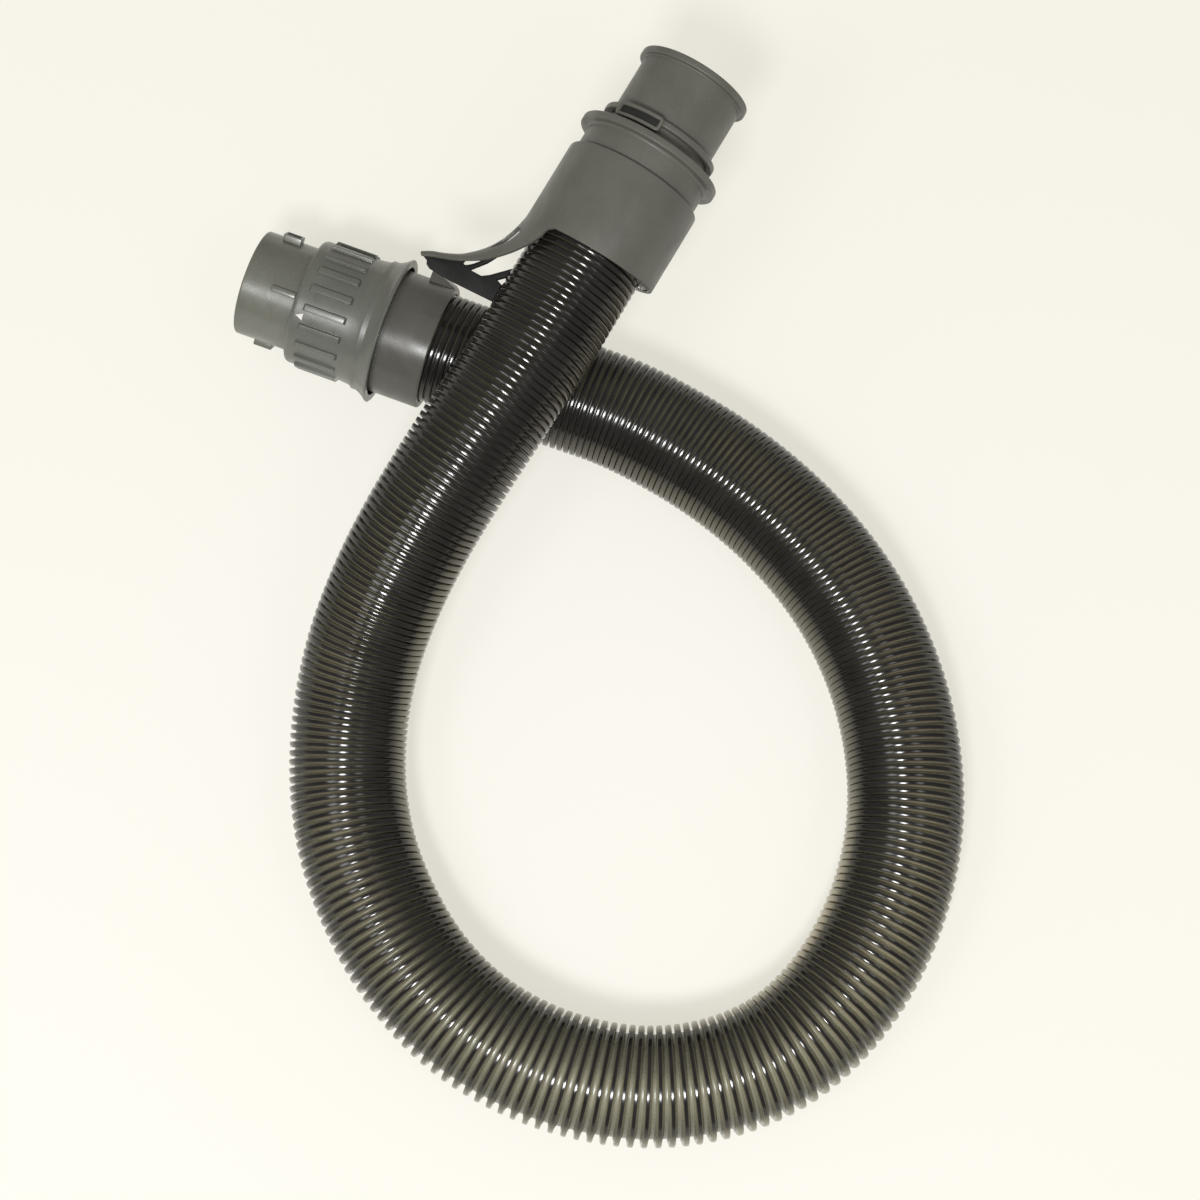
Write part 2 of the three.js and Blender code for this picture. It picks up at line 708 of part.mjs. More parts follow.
function screwHoles(from, to) {
  const radius = SCREW_SHAFT / 2 + GAP;
  return Object.values(SCREW_ANGLES).map((angle) => {
    const hole = new THREE.CylinderGeometry(radius, radius, to - from, 8);
    return standAt(hole.translate(screwCircle, (from + to) / 2, 0), angle);
  });
}

function sleeveScrew(angle) {
  const headTop = earBack - GAP;
  const shaftEnd = headTop + SCREW_LENGTH;
  const head = new THREE.CylinderGeometry(SCREW_HEAD / 2, SCREW_HEAD / 2, SCREW_HEAD_HEIGHT, 10);
  head.translate(screwCircle, headTop - SCREW_HEAD_HEIGHT / 2, 0);
  const shaftLength = SCREW_LENGTH + ROOT;
  const shaft = new THREE.CylinderGeometry(SCREW_SHAFT / 2, SCREW_SHAFT / 2, shaftLength, 8);
  shaft.translate(screwCircle, shaftEnd - shaftLength / 2, 0);
  return join(solid(standAt(head, angle)), standAt(shaft, angle));
}

function machineCuff() {
  const body = solid(revolve([
    [innerCuffBore, -INNER_CUFF_GRIP],
    [innerCuffRadius, -INNER_CUFF_GRIP],
    [innerCuffRadius, innerCuffFront],
    [journalBore, innerCuffFront],
    [journalBore, tailStart],
    [innerCuffBore, tailStart],
  ], INNER_SEGMENTS));
  return cut(body, ...screwHoles(-INNER_CUFF_GRIP - ROOT, earBack + SCREW_LENGTH + ROOT));
}

addPiece(machine, "machine_cuff", machineCuff(), COOL_GREY);
addPiece(machine, "horn_sleeve", hornSleeve(), HORN_GREY);
addPiece(machine, "duct_tube", ductTube(), GREY);
addPiece(machine, "swivel_flange", swivelFlange(), GREY);
addPiece(machine, "catch_ring", catchRing(), GREY);
addPiece(machine, "machine_ferrule", ferrule(), NATURAL);
addPiece(machine, "machine_snap_ring", snapRing(ductRadius, sleeveBore - ROOT, machineSnapAt), STEEL);
addPiece(
  machine,
  "machine_lip_seal",
  tube(journalBore, sleeveBore - GAP, machineSealAt, machineSealAt + LIP_SEAL),
  SEAL_BLACK,
);
addPiece(
  machine,
  "machine_bearing_ring",
  tube(journalBore, NECK_OUTER / 2 - BEARING_DEPTH, machineBearingAt, machineBearingAt + BEARING_RING),
  NATURAL,
);
for (const [name, angle] of Object.entries(SCREW_ANGLES)) addPiece(machine, name, sleeveScrew(angle), STEEL);

export default root;
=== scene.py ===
"""A vacuum cleaner's stretch hose with its wand fitting and its machine fitting, dressed for the render."""

import logging
import math
from bisect import bisect_right
from dataclasses import dataclass
from enum import Enum
from itertools import accumulate

import bmesh
import bpy
from bmesh.types import BMEdge, BMesh, BMVert
from bpy.types import Material, NodeSocket, Object
from mathutils import Matrix, Vector

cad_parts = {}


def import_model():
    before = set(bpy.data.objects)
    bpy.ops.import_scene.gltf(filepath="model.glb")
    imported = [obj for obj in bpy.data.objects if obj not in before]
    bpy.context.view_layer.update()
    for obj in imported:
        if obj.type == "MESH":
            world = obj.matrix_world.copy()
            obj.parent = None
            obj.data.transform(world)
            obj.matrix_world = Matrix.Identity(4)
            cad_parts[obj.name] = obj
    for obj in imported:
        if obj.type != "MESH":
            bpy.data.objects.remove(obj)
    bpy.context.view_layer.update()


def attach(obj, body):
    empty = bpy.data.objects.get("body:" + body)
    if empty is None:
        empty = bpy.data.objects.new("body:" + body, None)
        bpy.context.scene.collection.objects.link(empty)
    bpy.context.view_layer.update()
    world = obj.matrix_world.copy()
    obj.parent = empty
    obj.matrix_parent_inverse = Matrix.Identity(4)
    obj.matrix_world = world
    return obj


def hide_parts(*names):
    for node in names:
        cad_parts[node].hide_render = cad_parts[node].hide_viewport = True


logging.basicConfig(level=logging.INFO, format="%(message)s")
log = logging.getLogger("hose")

MM = 0.001
FULL_TURN = 2 * math.pi
UP = Vector((0, 0, 1))
MIDDLE = Vector((0.05, -0.15, 0))  # of the part on the floor, in metres
SUNK = 1  # how far a raised piece reaches into the wall it stands on, in millimetres
GROOVE_DEPTH = 0.8  # of the snap rings' grooves, in millimetres
FLOOR_GLOW = 0.64  # the glow's share in the floor that the camera sees

Pair = tuple[float, float]
Triple = tuple[float, float, float]
Table = tuple[tuple[float, ...], ...]
Corners = list[tuple[float, ...]]

# The hose's centre line in metres, from the machine fitting to the wand fitting, as in the solids.
ROUTE = tuple(
    Vector(point) * MM
    for point in (
        (57.1, -1.1, 89.2), (44.3, -22.4, 86.2), (31.6, -43.7, 83.1), (18.4, -65.9, 79.9), (2.7, -89.6, 75.6),
        (-13, -112.7, 69), (-28, -135.4, 59.8), (-41.1, -158.8, 48.9), (-51.2, -183.3, 38.3),
        (-57, -210, 29.9), (-57.8, -238, 25.7), (-53, -266, 25), (-42.2, -293, 25), (-27, -317.5, 25),
        (-7, -338, 25), (17.5, -353, 25), (44.7, -362.2, 25), (73.2, -365.2, 25), (101.6, -360.8, 25),
        (127.4, -349, 25), (148.6, -329.5, 25), (164.3, -305.5, 25), (174.8, -278.8, 25), (179.9, -250.5, 25),
        (179.3, -222, 25), (173.7, -194, 25), (163.2, -167, 25), (148.4, -142.4, 25), (129.8, -120.4, 25),
        (108.4, -101.3, 25.1), (84.6, -85.1, 25.6), (59.3, -71.8, 27), (33.2, -62.2, 28.4),
        (7.9, -53.2, 29.9), (-15.7, -44.8, 31.4), (-39.2, -36.4, 32.9),
    )
)


class Body(Enum):
    """The solids' bodies that the pieces ride on."""

    HOSE = "hose"
    WAND_END = "wand_end"
    MACHINE_END = "machine_end"


class Slot(Enum):
    """The record's material slots."""

    HOSE = "hose_black"
    GREY = "grey_plastic"
    COOL_GREY = "cool_grey_plastic"
    HORN = "horn_grey_plastic"
    STEEL = "spring_steel"
    WHITE = "white_print"


# ---- finishes


class Graph:
    """A material's node tree, with the few nodes that the finishes here are made of."""

    def __init__(self, name: str) -> None:
        """Starts a material with a Principled shader."""
        self.material = bpy.data.materials.new(name)
        self.material.use_nodes = True
        tree = self.material.node_tree
        self.nodes, self.wire = tree.nodes, tree.links.new
        self.shader = self.nodes["Principled BSDF"]
        self.coordinates = self.nodes.new("ShaderNodeTexCoord").outputs["Object"]

    def set(self, **values: float) -> None:
        """Sets sockets of the shader, with underscores for the spaces in their names."""
        for name, value in values.items():
            self.shader.inputs[name.replace("_", " ")].default_value = value

    def link(self, output: NodeSocket, name: str) -> None:
        """Links an output to a socket of the shader."""
        self.wire(output, self.shader.inputs[name])

    def attribute(self, name: str) -> NodeSocket:
        """Reads a number that is stored on the mesh."""
        node = self.nodes.new("ShaderNodeAttribute")
        node.attribute_name = name
        return node.outputs["Fac"]

    def noise(self, scale: float, detail: float = 2, stretch: Vector = Vector((1, 1, 1))) -> NodeSocket:
        """Adds a noise texture.

        Args:
            scale: Features per metre.
            detail: Octaves.
            stretch: Scale of each axis.

        Returns:
            The noise's value.
        """
        mapping = self.nodes.new("ShaderNodeMapping")
        mapping.inputs["Scale"].default_value = stretch
        self.wire(self.coordinates, mapping.inputs["Vector"])
        node = self.nodes.new("ShaderNodeTexNoise")
        node.inputs["Scale"].default_value = scale
        node.inputs["Detail"].default_value = detail
        self.wire(mapping.outputs["Vector"], node.inputs["Vector"])
        return node.outputs["Fac"]

    def spread(self, value: NodeSocket, source: Pair, target: Pair) -> NodeSocket:
        """Maps a value from one range to another, and returns the result."""
        node = self.nodes.new("ShaderNodeMapRange")
        for name, number in zip(("From Min", "From Max", "To Min", "To Max"), (*source, *target)):
            node.inputs[name].default_value = number
        self.wire(value, node.inputs["Value"])
        return node.outputs["Result"]

    def rough(self, value: NodeSocket, low: float, high: float) -> None:
        """Lets a noise vary the roughness from low to high."""
        self.link(self.spread(value, (0.3, 0.7), (low, high)), "Roughness")

    def mix(self, share: NodeSocket, low, high) -> NodeSocket:
        """Mixes two colours, each a tuple or a socket, and returns the result."""
        node = self.nodes.new("ShaderNodeMix")
        node.data_type = "RGBA"
        self.wire(share, node.inputs["Factor"])
        for socket, colour in ((node.inputs[6], low), (node.inputs[7], high)):
            if isinstance(colour, NodeSocket):
                self.wire(colour, socket)
            else:
                socket.default_value = (*colour, 1)
        return node.outputs[2]

    def bump(self, *layers: tuple[NodeSocket, float]) -> None:
        """Adds bump layers, each a height and its depth in millimetres, to the shader's normal."""
        normal = None
        for height, depth in layers:
            node = self.nodes.new("ShaderNodeBump")
            node.inputs["Distance"].default_value = depth * MM
            self.wire(height, node.inputs["Height"])
            if normal:
                self.wire(normal, node.inputs["Normal"])
            normal = node.outputs["Normal"]
        self.link(normal, "Normal")


def toned(colour: Triple, factor: float) -> Triple:
    """Gives a darker or lighter tone of a colour."""
    return tuple(factor * c for c in colour)


@dataclass(frozen=True)
class SatinPlastic:
    """Moulded plastic with a fine eroded texture, faint mottling and light scuffs.

    Args:
        name: Material's name.
        colour: Linear base colour.
        roughness: Mean roughness.
        speckle: How much the fine grains lighten it.
        grain: The texture's depth in millimetres.
        ior: Index of refraction.
    """

    name: str
    colour: Triple
    roughness: float = 0.42
    speckle: float = 0.25
    grain: float = 0.02
    ior: float = 1.5

    def build(self) -> Material:
        """Makes the material."""
        graph = Graph(self.name)
        mottle = graph.spread(graph.noise(45, 3), (0.35, 0.65), (0, 1))
        fine = graph.noise(2600, 2)
        scuffs = graph.noise(160, 4, Vector((1, 0.25, 1)))
        light = toned(self.colour, 1.08)
        pale = tuple(c + self.speckle * (0.5 - c) for c in light)
        base = graph.mix(mottle, toned(self.colour, 0.9), light)
        graph.link(graph.mix(graph.spread(fine, (0.62, 0.78), (0, 1)), base, pale), "Base Color")
        graph.rough(scuffs, self.roughness - 0.07, self.roughness + 0.09)
        graph.bump((fine, self.grain), (mottle, 0.03))
        graph.set(IOR=self.ior)
        return graph.material


@dataclass(frozen=True)
class GlossRib:
    """The glossy smoky cover of the hose's black wire, with a slightly uneven skin.

    The mesh's "pale" attribute rises from 0 over the black wire to 1 where only the cover shows. It is partly
    painted: the light smoky colour at the tips is a painted reflection of the pale floor at grazing angles,
    and the flanks take the film's painted shade.
    """

    name: str = "hose_rib_gloss"
    black: Triple = (0.009, 0.0085, 0.008)
    # smoky is partly the cover's own tint and partly a painted reflection of the pale floor on the tips.
    smoky: Triple = (0.66, 0.6, 0.41)
    roughness: float = 0.13

    def build(self) -> Material:
        """Makes the material."""
        graph = Graph(self.name)
        uneven = graph.noise(90, 2)
        core = graph.mix(graph.spread(uneven, (0.35, 0.7), (0, 1)), self.black, toned(self.black, 2))
        graph.link(graph.mix(graph.attribute("pale"), core, self.smoky), "Base Color")
        graph.rough(uneven, self.roughness - 0.02, self.roughness + 0.04)
        graph.set(IOR=1.42)
        graph.bump((uneven, 0.008))
        return graph.material


@dataclass(frozen=True)
class SmokyFilm:
    """The hose's olive grey film between the wire's turns.

    The mesh's "stretch" attribute is 1 where the hose is stretched most. Its "pale" attribute is 0
    where the film is painted dark: painted shade where the neighbouring turns hide the film. Its colours
    are lifted above the film's own olive, painted light that keeps the deep grooves bright as if lit through
    the film.
    """

    name: str = "hose_smoky_film"
    relaxed: Triple = (0.6, 0.56, 0.34)
    stretched: Triple = (0.46, 0.45, 0.33)
    painted_shade: Triple = (0.006, 0.006, 0.005)

    def build(self) -> Material:
        """Makes the material."""
        graph = Graph(self.name)
        cloudy = graph.noise(90, 3)
        folds = graph.noise(700, 3)
        base = graph.mix(graph.attribute("stretch"), self.relaxed, self.stretched)
        clouded = graph.mix(graph.spread(cloudy, (0.3, 0.7), (0, 0.35)), base, toned(self.stretched, 0.55))
        graph.link(graph.mix(graph.attribute("pale"), self.painted_shade, clouded), "Base Color")
        graph.rough(folds, 0.22, 0.32)
        graph.bump((folds, 0.008))
        return graph.material


@dataclass(frozen=True)
class PlainFinish:
    """A small or hidden piece's finish: an even colour with faint clouding and grain."""

    name: str
    colour: Triple
    roughness: float
    metallic: float = 0.0

    def build(self) -> Material:
        """Makes the material."""
        graph = Graph(self.name)
        cloudy = graph.noise(300, 3)
        graph.link(graph.mix(cloudy, toned(self.colour, 0.85), self.colour), "Base Color")
        graph.rough(cloudy, self.roughness - 0.06, self.roughness + 0.06)
        graph.set(Metallic=self.metallic)
        graph.bump((graph.noise(1800, 2), 0.015))
        return graph.material


class Finishes:
    """Every material of the object, made once."""

    def __init__(self) -> None:
        """Makes the materials."""
        self.grey = SatinPlastic("moulded_grey", (0.121, 0.12, 0.102), 0.4).build()
        self.cuff = SatinPlastic("cuff_grey", (0.094, 0.093, 0.08), 0.3, 0.2).build()
        self.collar = SatinPlastic("collar_grey", (0.122, 0.127, 0.108), 0.31, 0.4, ior=1.75).build()
        self.spigot = SatinPlastic("spigot_grey", (0.132, 0.136, 0.11), 0.31, 0.4, ior=1.75).build()
        self.horn = SatinPlastic("horn_grey", (0.119, 0.119, 0.102), 0.38, 0.15).build()
        # The web is the same grey moulding as the strap; its near-black colour is painted shade.
        self.web = SatinPlastic("web_painted_shade", (0.005, 0.0052, 0.0054), 0.66, 0.02).build()
        self.rib = GlossRib().build()
        self.film = SmokyFilm().build()
        self.white = PlainFinish("mark_white", (0.86, 0.85, 0.8), 0.5).build()
        self.natural = PlainFinish("natural_plastic", (0.55, 0.51, 0.4), 0.45).build()
        # Black for the lip seals, and also used as painted shade in the lugs' pockets and the loop's slot.
        self.seal = PlainFinish("seal_black_and_painted_shade", (0.012, 0.012, 0.012), 0.65).build()
        self.steel = PlainFinish("screw_steel", (0.42, 0.42, 0.4), 0.3, 1.0).build()

    def for_nodes(self) -> dict[str, Material]:
        """Gives the material of each solid that stays on show as it is."""
        shown = {"ferrule": self.natural, "bearing_ring": self.natural}
        shown |= {"snap_ring": self.steel, "lip_seal": self.seal}
        both = {f"{end}_{name}": material for end in ("wand", "machine") for name, material in shown.items()}
        return {**both, "machine_cuff": self.collar}


# ---- mesh helpers


def add_object(name: str, bm: BMesh, matrix: Matrix, material: Material, sharp: float = 32) -> Object:
    """Turns a bmesh in a local frame into a smooth shaded object at the origin.

    Args:
        name: Object's name.
        bm: The mesh, which is freed.
        matrix: From the local frame to the part's frame.
        material: The only material.
        sharp: Degrees over which an edge stays sharp.

    Returns:
        The new object.
    """
    bm.transform(matrix)
    bmesh.ops.recalc_face_normals(bm, faces=bm.faces)
    mesh = bpy.data.meshes.new(name)
    bm.to_mesh(mesh)
    bm.free()
    mesh.shade_smooth()
    mesh.set_sharp_from_angle(angle=math.radians(sharp))
    mesh.materials.append(material)
    piece = bpy.data.objects.new(name, mesh)
    bpy.context.scene.collection.objects.link(piece)
    log.info("%s: %d faces", name, len(mesh.polygons))
    return piece


def rounded(corners: Corners, steps: int = 5) -> list[Pair]:
    """Rounds the corners of a closed outline.

    Args:
        corners: Corners as (x, y) or (x, y, rounding size).
        steps: Steps of each rounded corner.

    Returns:
        The outline's points.
    """
    points = []
    for i, corner in enumerate(corners):
        here = Vector(corner[:2])
        size = corner[2] if len(corner) > 2 else 0
        if not size:
            points.append(tuple(here))
            continue
        ways = [Vector(corners[j % len(corners)][:2]) - here for j in (i - 1, i + 1)]
        start, end = (here + way.normalized() * min(size, 0.49 * way.length) for way in ways)
        for k in range(steps + 1):
            t = k / steps
            points.append(tuple(start * (1 - t) ** 2 + here * 2 * t * (1 - t) + end * t**2))
    return points


def turned(corners: Corners, steps: int = 96, opening: float = 0.0) -> BMesh:
    """Spins a closed profile round Y.

    Args:
        corners: The profile as (radius, along, rounding).
        steps: Steps of the spin.
        opening: Degrees that are left out. The spin then starts at +X, and both its ends are closed.

    Returns:
        The mesh.
    """
    bm = bmesh.new()
    verts = [bm.verts.new((r, y, 0)) for r, y in rounded(corners)]
    edges = [bm.edges.new((verts[i - 1], verts[i])) for i in range(len(verts))]
    spun = bmesh.ops.spin(
        bm, geom=verts + edges, axis=(0, 1, 0), angle=FULL_TURN - math.radians(opening), steps=steps,
        use_merge=not opening,
    )
    if opening:
        ends = [edges, [item for item in spun["geom_last"] if isinstance(item, BMEdge)]]
        for end in ends:
            bmesh.ops.edgeloop_fill(bm, edges=end)
    return bm


def groove(radius: float, span: Pair) -> Corners:
    """Gives the corners of a snap ring's groove in a tube."""
    low, high = span
    return [(radius, low), (radius - GROOVE_DEPTH, low), (radius - GROOVE_DEPTH, high), (radius, high)]


def block(low: Triple, high: Triple, bevel: float) -> BMesh:
    """A box between two corners with rounded edges."""
    bm = bmesh.new()
    size = [h - l for l, h in zip(low, high)]
    middle = [(l + h) / 2 for l, h in zip(low, high)]
    bmesh.ops.create_cube(bm, size=1, matrix=Matrix.Translation(middle) @ Matrix.Diagonal((*size, 1)))
    round_edges(bm, bevel)
    return bm


def round_edges(bm: BMesh, size: float, edges=None, segments: int = 3) -> None:
    """Rounds the given edges of a mesh, or all of them."""
    shape = {"offset": size, "segments": segments, "profile": 0.5, "clamp_overlap": True}
    bmesh.ops.bevel(bm, geom=list(edges or bm.edges), affect="EDGES", material=-1, **shape)


def prism(outline: list[Pair], low: float, high: float) -> BMesh:
    """A flat outline in X and Y, extruded along Z from low to high."""
    bm = bmesh.new()
    face = bm.faces.new([bm.verts.new((x, y, low)) for x, y in outline])
    extruded = bmesh.ops.extrude_face_region(bm, geom=[face])["geom"]
    moved = [item for item in extruded if isinstance(item, BMVert)]
    bmesh.ops.translate(bm, verts=moved, vec=(0, 0, high - low))
    bmesh.ops.recalc_face_normals(bm, faces=bm.faces)
    return bm


def about_y(degrees: float) -> Matrix:
    """Gives a rotation round Y."""
    return Matrix.Rotation(math.radians(degrees), 4, "Y")


def stand_at(bm: BMesh, degrees: float) -> BMesh:
    """Turns a mesh whose outward direction is +X to an angle round Y, counted from the top."""
    bm.transform(about_y(degrees - 90))
    return bm


def gather(*parts: BMesh) -> BMesh:
    """Puts several meshes in the first one."""
    whole = parts[0]
    for part in parts[1:]:
        mesh = bpy.data.meshes.new("gathered")
        part.to_mesh(mesh)
        part.free()
        whole.from_mesh(mesh)
        bpy.data.meshes.remove(mesh)
    return whole


def between(rows: Table, place: float) -> tuple[float, ...]:
    """Interpolates a table.

    Args:
        rows: The table, each row a place and the values there, in order of place.
        place: Where to read it.

    Returns:
        The values at the place.
    """
    if place <= rows[0][0]:
        return rows[0][1:]
    for low, high in zip(rows, rows[1:]):
        if place <= high[0]:
            share = (place - low[0]) / (high[0] - low[0])
            return tuple(a + (b - a) * share for a, b in zip(low[1:], high[1:]))
    return rows[-1][1:]


def smooth_step(low: float, high: float, value: float) -> float:
    """Rises smoothly from 0 at low to 1 at high, which may be the lower of the two."""
    share = min(max((value - low) / (high - low), 0.0), 1.0)
    return share * share * (3 - 2 * share)


def smooth_through(points: list[Vector], steps: int, closed: bool = False) -> list[Vector]:
    """Gives points on a smooth curve through the given ones, with centripetal spacing.

    Args:
        points: The curve's points, in two or three dimensions.
        steps: Steps between each two points.
        closed: Whether the curve returns to its first point.

    Returns:
        The curve's points.
    """
    if closed:
        chain = [points[-1], *points, points[0], points[1]]
    else:
        chain = [2 * points[0] - points[1], *points, 2 * points[-1] - points[-2]]
    curve = []
    for p0, p1, p2, p3 in zip(chain, chain[1:], chain[2:], chain[3:]):
        d0, d1, d2 = (max((b - a).length, 1e-9) ** 0.5 for a, b in ((p0, p1), (p1, p2), (p2, p3)))
        start = ((p1 - p0) / d0 - (p2 - p0) / (d0 + d1) + (p2 - p1) / d1) * d1
        end = ((p2 - p1) / d1 - (p3 - p1) / (d1 + d2) + (p3 - p2) / d2) * d1
        for k in range(steps):
            t = k / steps
            cubic = 2 * p1 - 2 * p2 + start + end
            square = -3 * p1 + 3 * p2 - 2 * start - end
            curve.append(cubic * t**3 + square * t**2 + start * t + p1)
    if not closed:
        curve.append(points[-1].copy())
    return curve


# ---- the hose


@dataclass(frozen=True)
class Station:
    """A place on the hose's centre line, with the directions along, beside and over it."""

    centre: Vector
    along: Vector
    side: Vector
    over: Vector

    def around(self, turn: float, radius: float, ahead: float = 0.0) -> Vector:
        """Gives a point round the line at an angle in radians, and a distance ahead along it."""
        outwards = self.side * math.cos(turn) + self.over * math.sin(turn)
        return self.centre + outwards * radius + self.along * ahead


class HoseLine:
    """The hose's centre line, measured by its length in metres."""

    def __init__(self, route: tuple[Vector, ...], steps: int = 60) -> None:
        """Samples the line and its length."""
        self.points = smooth_through(list(route), steps)
        gaps = ((b - a).length for a, b in zip(self.points, self.points[1:]))
        self.lengths = list(accumulate(gaps, initial=0.0))
        self.length = self.lengths[-1]

    def station(self, distance: float) -> Station:
        """Gives the place at a distance along the line."""
        distance = min(max(distance, 0.0), self.length)
        i = min(bisect_right(self.lengths, distance), len(self.lengths) - 1)
        share = (distance - self.lengths[i - 1]) / (self.lengths[i] - self.lengths[i - 1])
        centre = self.points[i - 1].lerp(self.points[i], share)
        before = self.points[i] - self.points[max(i - 2, 0)]
        after = self.points[min(i + 1, len(self.points) - 1)] - self.points[i - 1]
        along = before.normalized().lerp(after.normalized(), share).normalized()
        side = along.cross(UP).normalized()
        return Station(centre, along, side, side.cross(along))


@dataclass(frozen=True)
class StretchHose:
    """The ribbed hose: a wire in a glossy cover, wound round a smoky film tube.

    Lengths are in millimetres. cover_paleness, film_paleness and crest_lean go by the share of the
    wire's turns from the machine fitting. side_paleness goes by the cosine of the angle from the
    loop's outer side. crest_lean is the slope of the cover's flat crest along the hose.
    """

    line: HoseLine
    turns: int = 285
    sides: int = 32
    crest: float = 25.0
    film_high: float = 23.7
    relaxed_low: float = 22.8
    stretched_low: float = 21.3
    bore: float = 20.9
    bend_place: float = 0.47
    bend_spread: float = 0.125
    bend_stretch: float = 0.52
    cover_paleness: Table = (
        (0, 0.1), (0.15, 0.1), (0.26, 0.36), (0.4, 0.36), (0.5, 1), (0.565, 1), (0.64, 0.25), (0.85, 0.15),
        (1, 0.05),
    )
    film_paleness: Table = (
        (0, 0.12), (0.15, 0.16), (0.26, 0.5), (0.38, 0.46), (0.46, 0.78), (0.57, 0.72), (0.64, 0.48),
        (0.8, 0.42), (0.92, 0.12), (1, 0.12),
    )
    # side_paleness paints shade: the film and the cover's flanks darken towards the loop's inner side, where
    # the turns close up.
    side_paleness: Table = (
        (-1, 0.1), (-0.64, 0.12), (-0.3, 0.5), (0, 0.9), (0.26, 1), (0.64, 0.75), (0.9, 0.35),
    )
    crest_half: float = 0.55
    crest_lean: Table = (
        (0, 0.38), (0.1, 0.26), (0.15, 0.04), (0.21, 0), (0.3, 0.3), (0.4, 0.13), (0.5, -0.14), (0.6, -0.33),
        (0.7, -0.32), (0.8, -0.25), (0.9, -0.05), (1, -0.12),
    )

    def stretch(self, turn: float) -> float:
        """Tells how far the far bend is stretched at a turn of the wire, from 0 to 1."""
        away = (turn / self.turns - self.bend_place) / self.bend_spread
        return math.exp(-away * away)

    def starts(self) -> list[float]:
        """Gives the distance along the line, in metres, at which each turn of the wire starts."""
        widths = [1 + self.bend_stretch * self.stretch(i + 0.5) for i in range(self.turns)]
        scale = self.line.length / sum(widths)
        return list(accumulate((width * scale for width in widths), initial=0.0))

    def helix(self, starts: list[float], turn: float) -> float:
        """Gives the distance along the line, in metres, at a number of turns."""
        turn = min(max(turn, 0.0), float(self.turns))
        whole = min(int(turn), self.turns - 1)
        return starts[whole] + (turn - whole) * (starts[whole + 1] - starts[whole])

    def film_pale(self, turn: float, angle: float) -> float:
        """Tells how pale the film is: darkest on the loop's inner side, painted shade where the neighbouring
        turns hide the film; along the hose it follows film_paleness.
        """
        least = 0.08 + 0.5 * self.stretch(turn)
        outer = max(least, between(self.side_paleness, math.cos(angle))[0])
        return between(self.film_paleness, turn / self.turns)[0] * outer

    def end_pale(self, turn: float, angle: float) -> float:
        """Tells how pale the cover is: palest low on the inner side, a painted reflection of the pale floor
        on the tips.
        """
        low = smooth_step(0.62, 0.24, math.sin(angle))
        outer = 1 - 0.55 * smooth_step(0, 0.5, math.cos(angle))
        return between(self.cover_paleness, turn / self.turns)[0] * low * outer

    def rib_profile(self) -> list[Triple]:
        """Gives the wire cover's section as (ahead, depth below the crest, how much it is a flank)."""
        left = [(-1.28, 3.6, 1), (-1.28, 1.15, 1), (-1.12, 0.35, 0.6), (-0.85, 0.04, 0.2), (-0.55, 0, 0)]
        return left + [(-ahead, down, flank) for ahead, down, flank in reversed(left)]

    def ribs(self, material: Material) -> Object:
        """Winds the wire's cover as one unbroken rib."""
        starts = self.starts()
        profile = self.rib_profile()
        bm = bmesh.new()
        pale = bm.verts.layers.float.new("pale")
        rings = []
        for k in range((self.turns - 1) * self.sides + 1):
            turn = k / self.sides
            station = self.line.station(self.helix(starts, turn + 0.5))
            angle = FULL_TURN * turn
            # end paints the floor's reflection on the cover's tips; beside carries the film's painted shade
            # onto the flanks.
            end = self.end_pale(turn, angle)
            beside = 0.9 * self.film_pale(turn, angle)
            lean = between(self.crest_lean, turn / self.turns)[0]
            ring = []
            for ahead, down, flank in profile:
                if down < 1:
                    down = max(0, down + lean * ahead + abs(lean) * self.crest_half)
                vert = bm.verts.new(station.around(angle, (self.crest - down) * MM, ahead * MM))
                vert[pale] = max(end, flank * beside)
                ring.append(vert)
            rings.append(ring)
        for low, high in zip(rings, rings[1:]):
            for j in range(len(profile)):
                bm.faces.new((low[j - 1], low[j], high[j], high[j - 1]))
        bm.faces.new(rings[0])
        bm.faces.new(reversed(rings[-1]))
        return add_object("hose_ribs", bm, Matrix.Identity(4), material, 70)

    def film(self, material: Material) -> Object:
        """Makes the film tube, its valleys between the wire's turns, and its bore."""
        starts = self.starts()
        valley_half = [(0, 1), (0.26, 0.6), (0.3, 0.25), (0.335, 0.04), (0.4, 0)]
        phases = valley_half + [(1 - at, high) for at, high in reversed(valley_half[1:])]
        bm = bmesh.new()
        stretch = bm.verts.layers.float.new("stretch")
        pale = bm.verts.layers.float.new("pale")

        def ring_of(turn_at, radius):
            """Adds a ring of points whose turn number rises by one on the way round."""
            ring = []
            for j in range(self.sides + 1):
                turn = turn_at(j / self.sides)
                station = self.line.station(self.helix(starts, turn + 0.5))
                angle = FULL_TURN * j / self.sides
                vert = bm.verts.new(station.around(angle, radius(turn) * MM))
                vert[stretch] = self.stretch(turn)
                vert[pale] = self.film_pale(turn, angle)
                ring.append(vert)
            return ring

        def flat(at, radius):
            """Adds a ring that lies straight across the tube."""
            return ring_of(lambda share: at, lambda turn: radius)

        last = self.turns - 1
        rings = []
        for i in range(-1, last + 1):
            for phase, high in phases:
                def turn_at(share, start=i + phase):
                    return min(max(start + share, 0.0), float(last))

                def radius(turn, high=high):
                    bottom = self.relaxed_low + (self.stretched_low - self.relaxed_low) * self.stretch(turn)
                    return bottom + (self.film_high - bottom) * high if 0 < turn < last else self.film_high

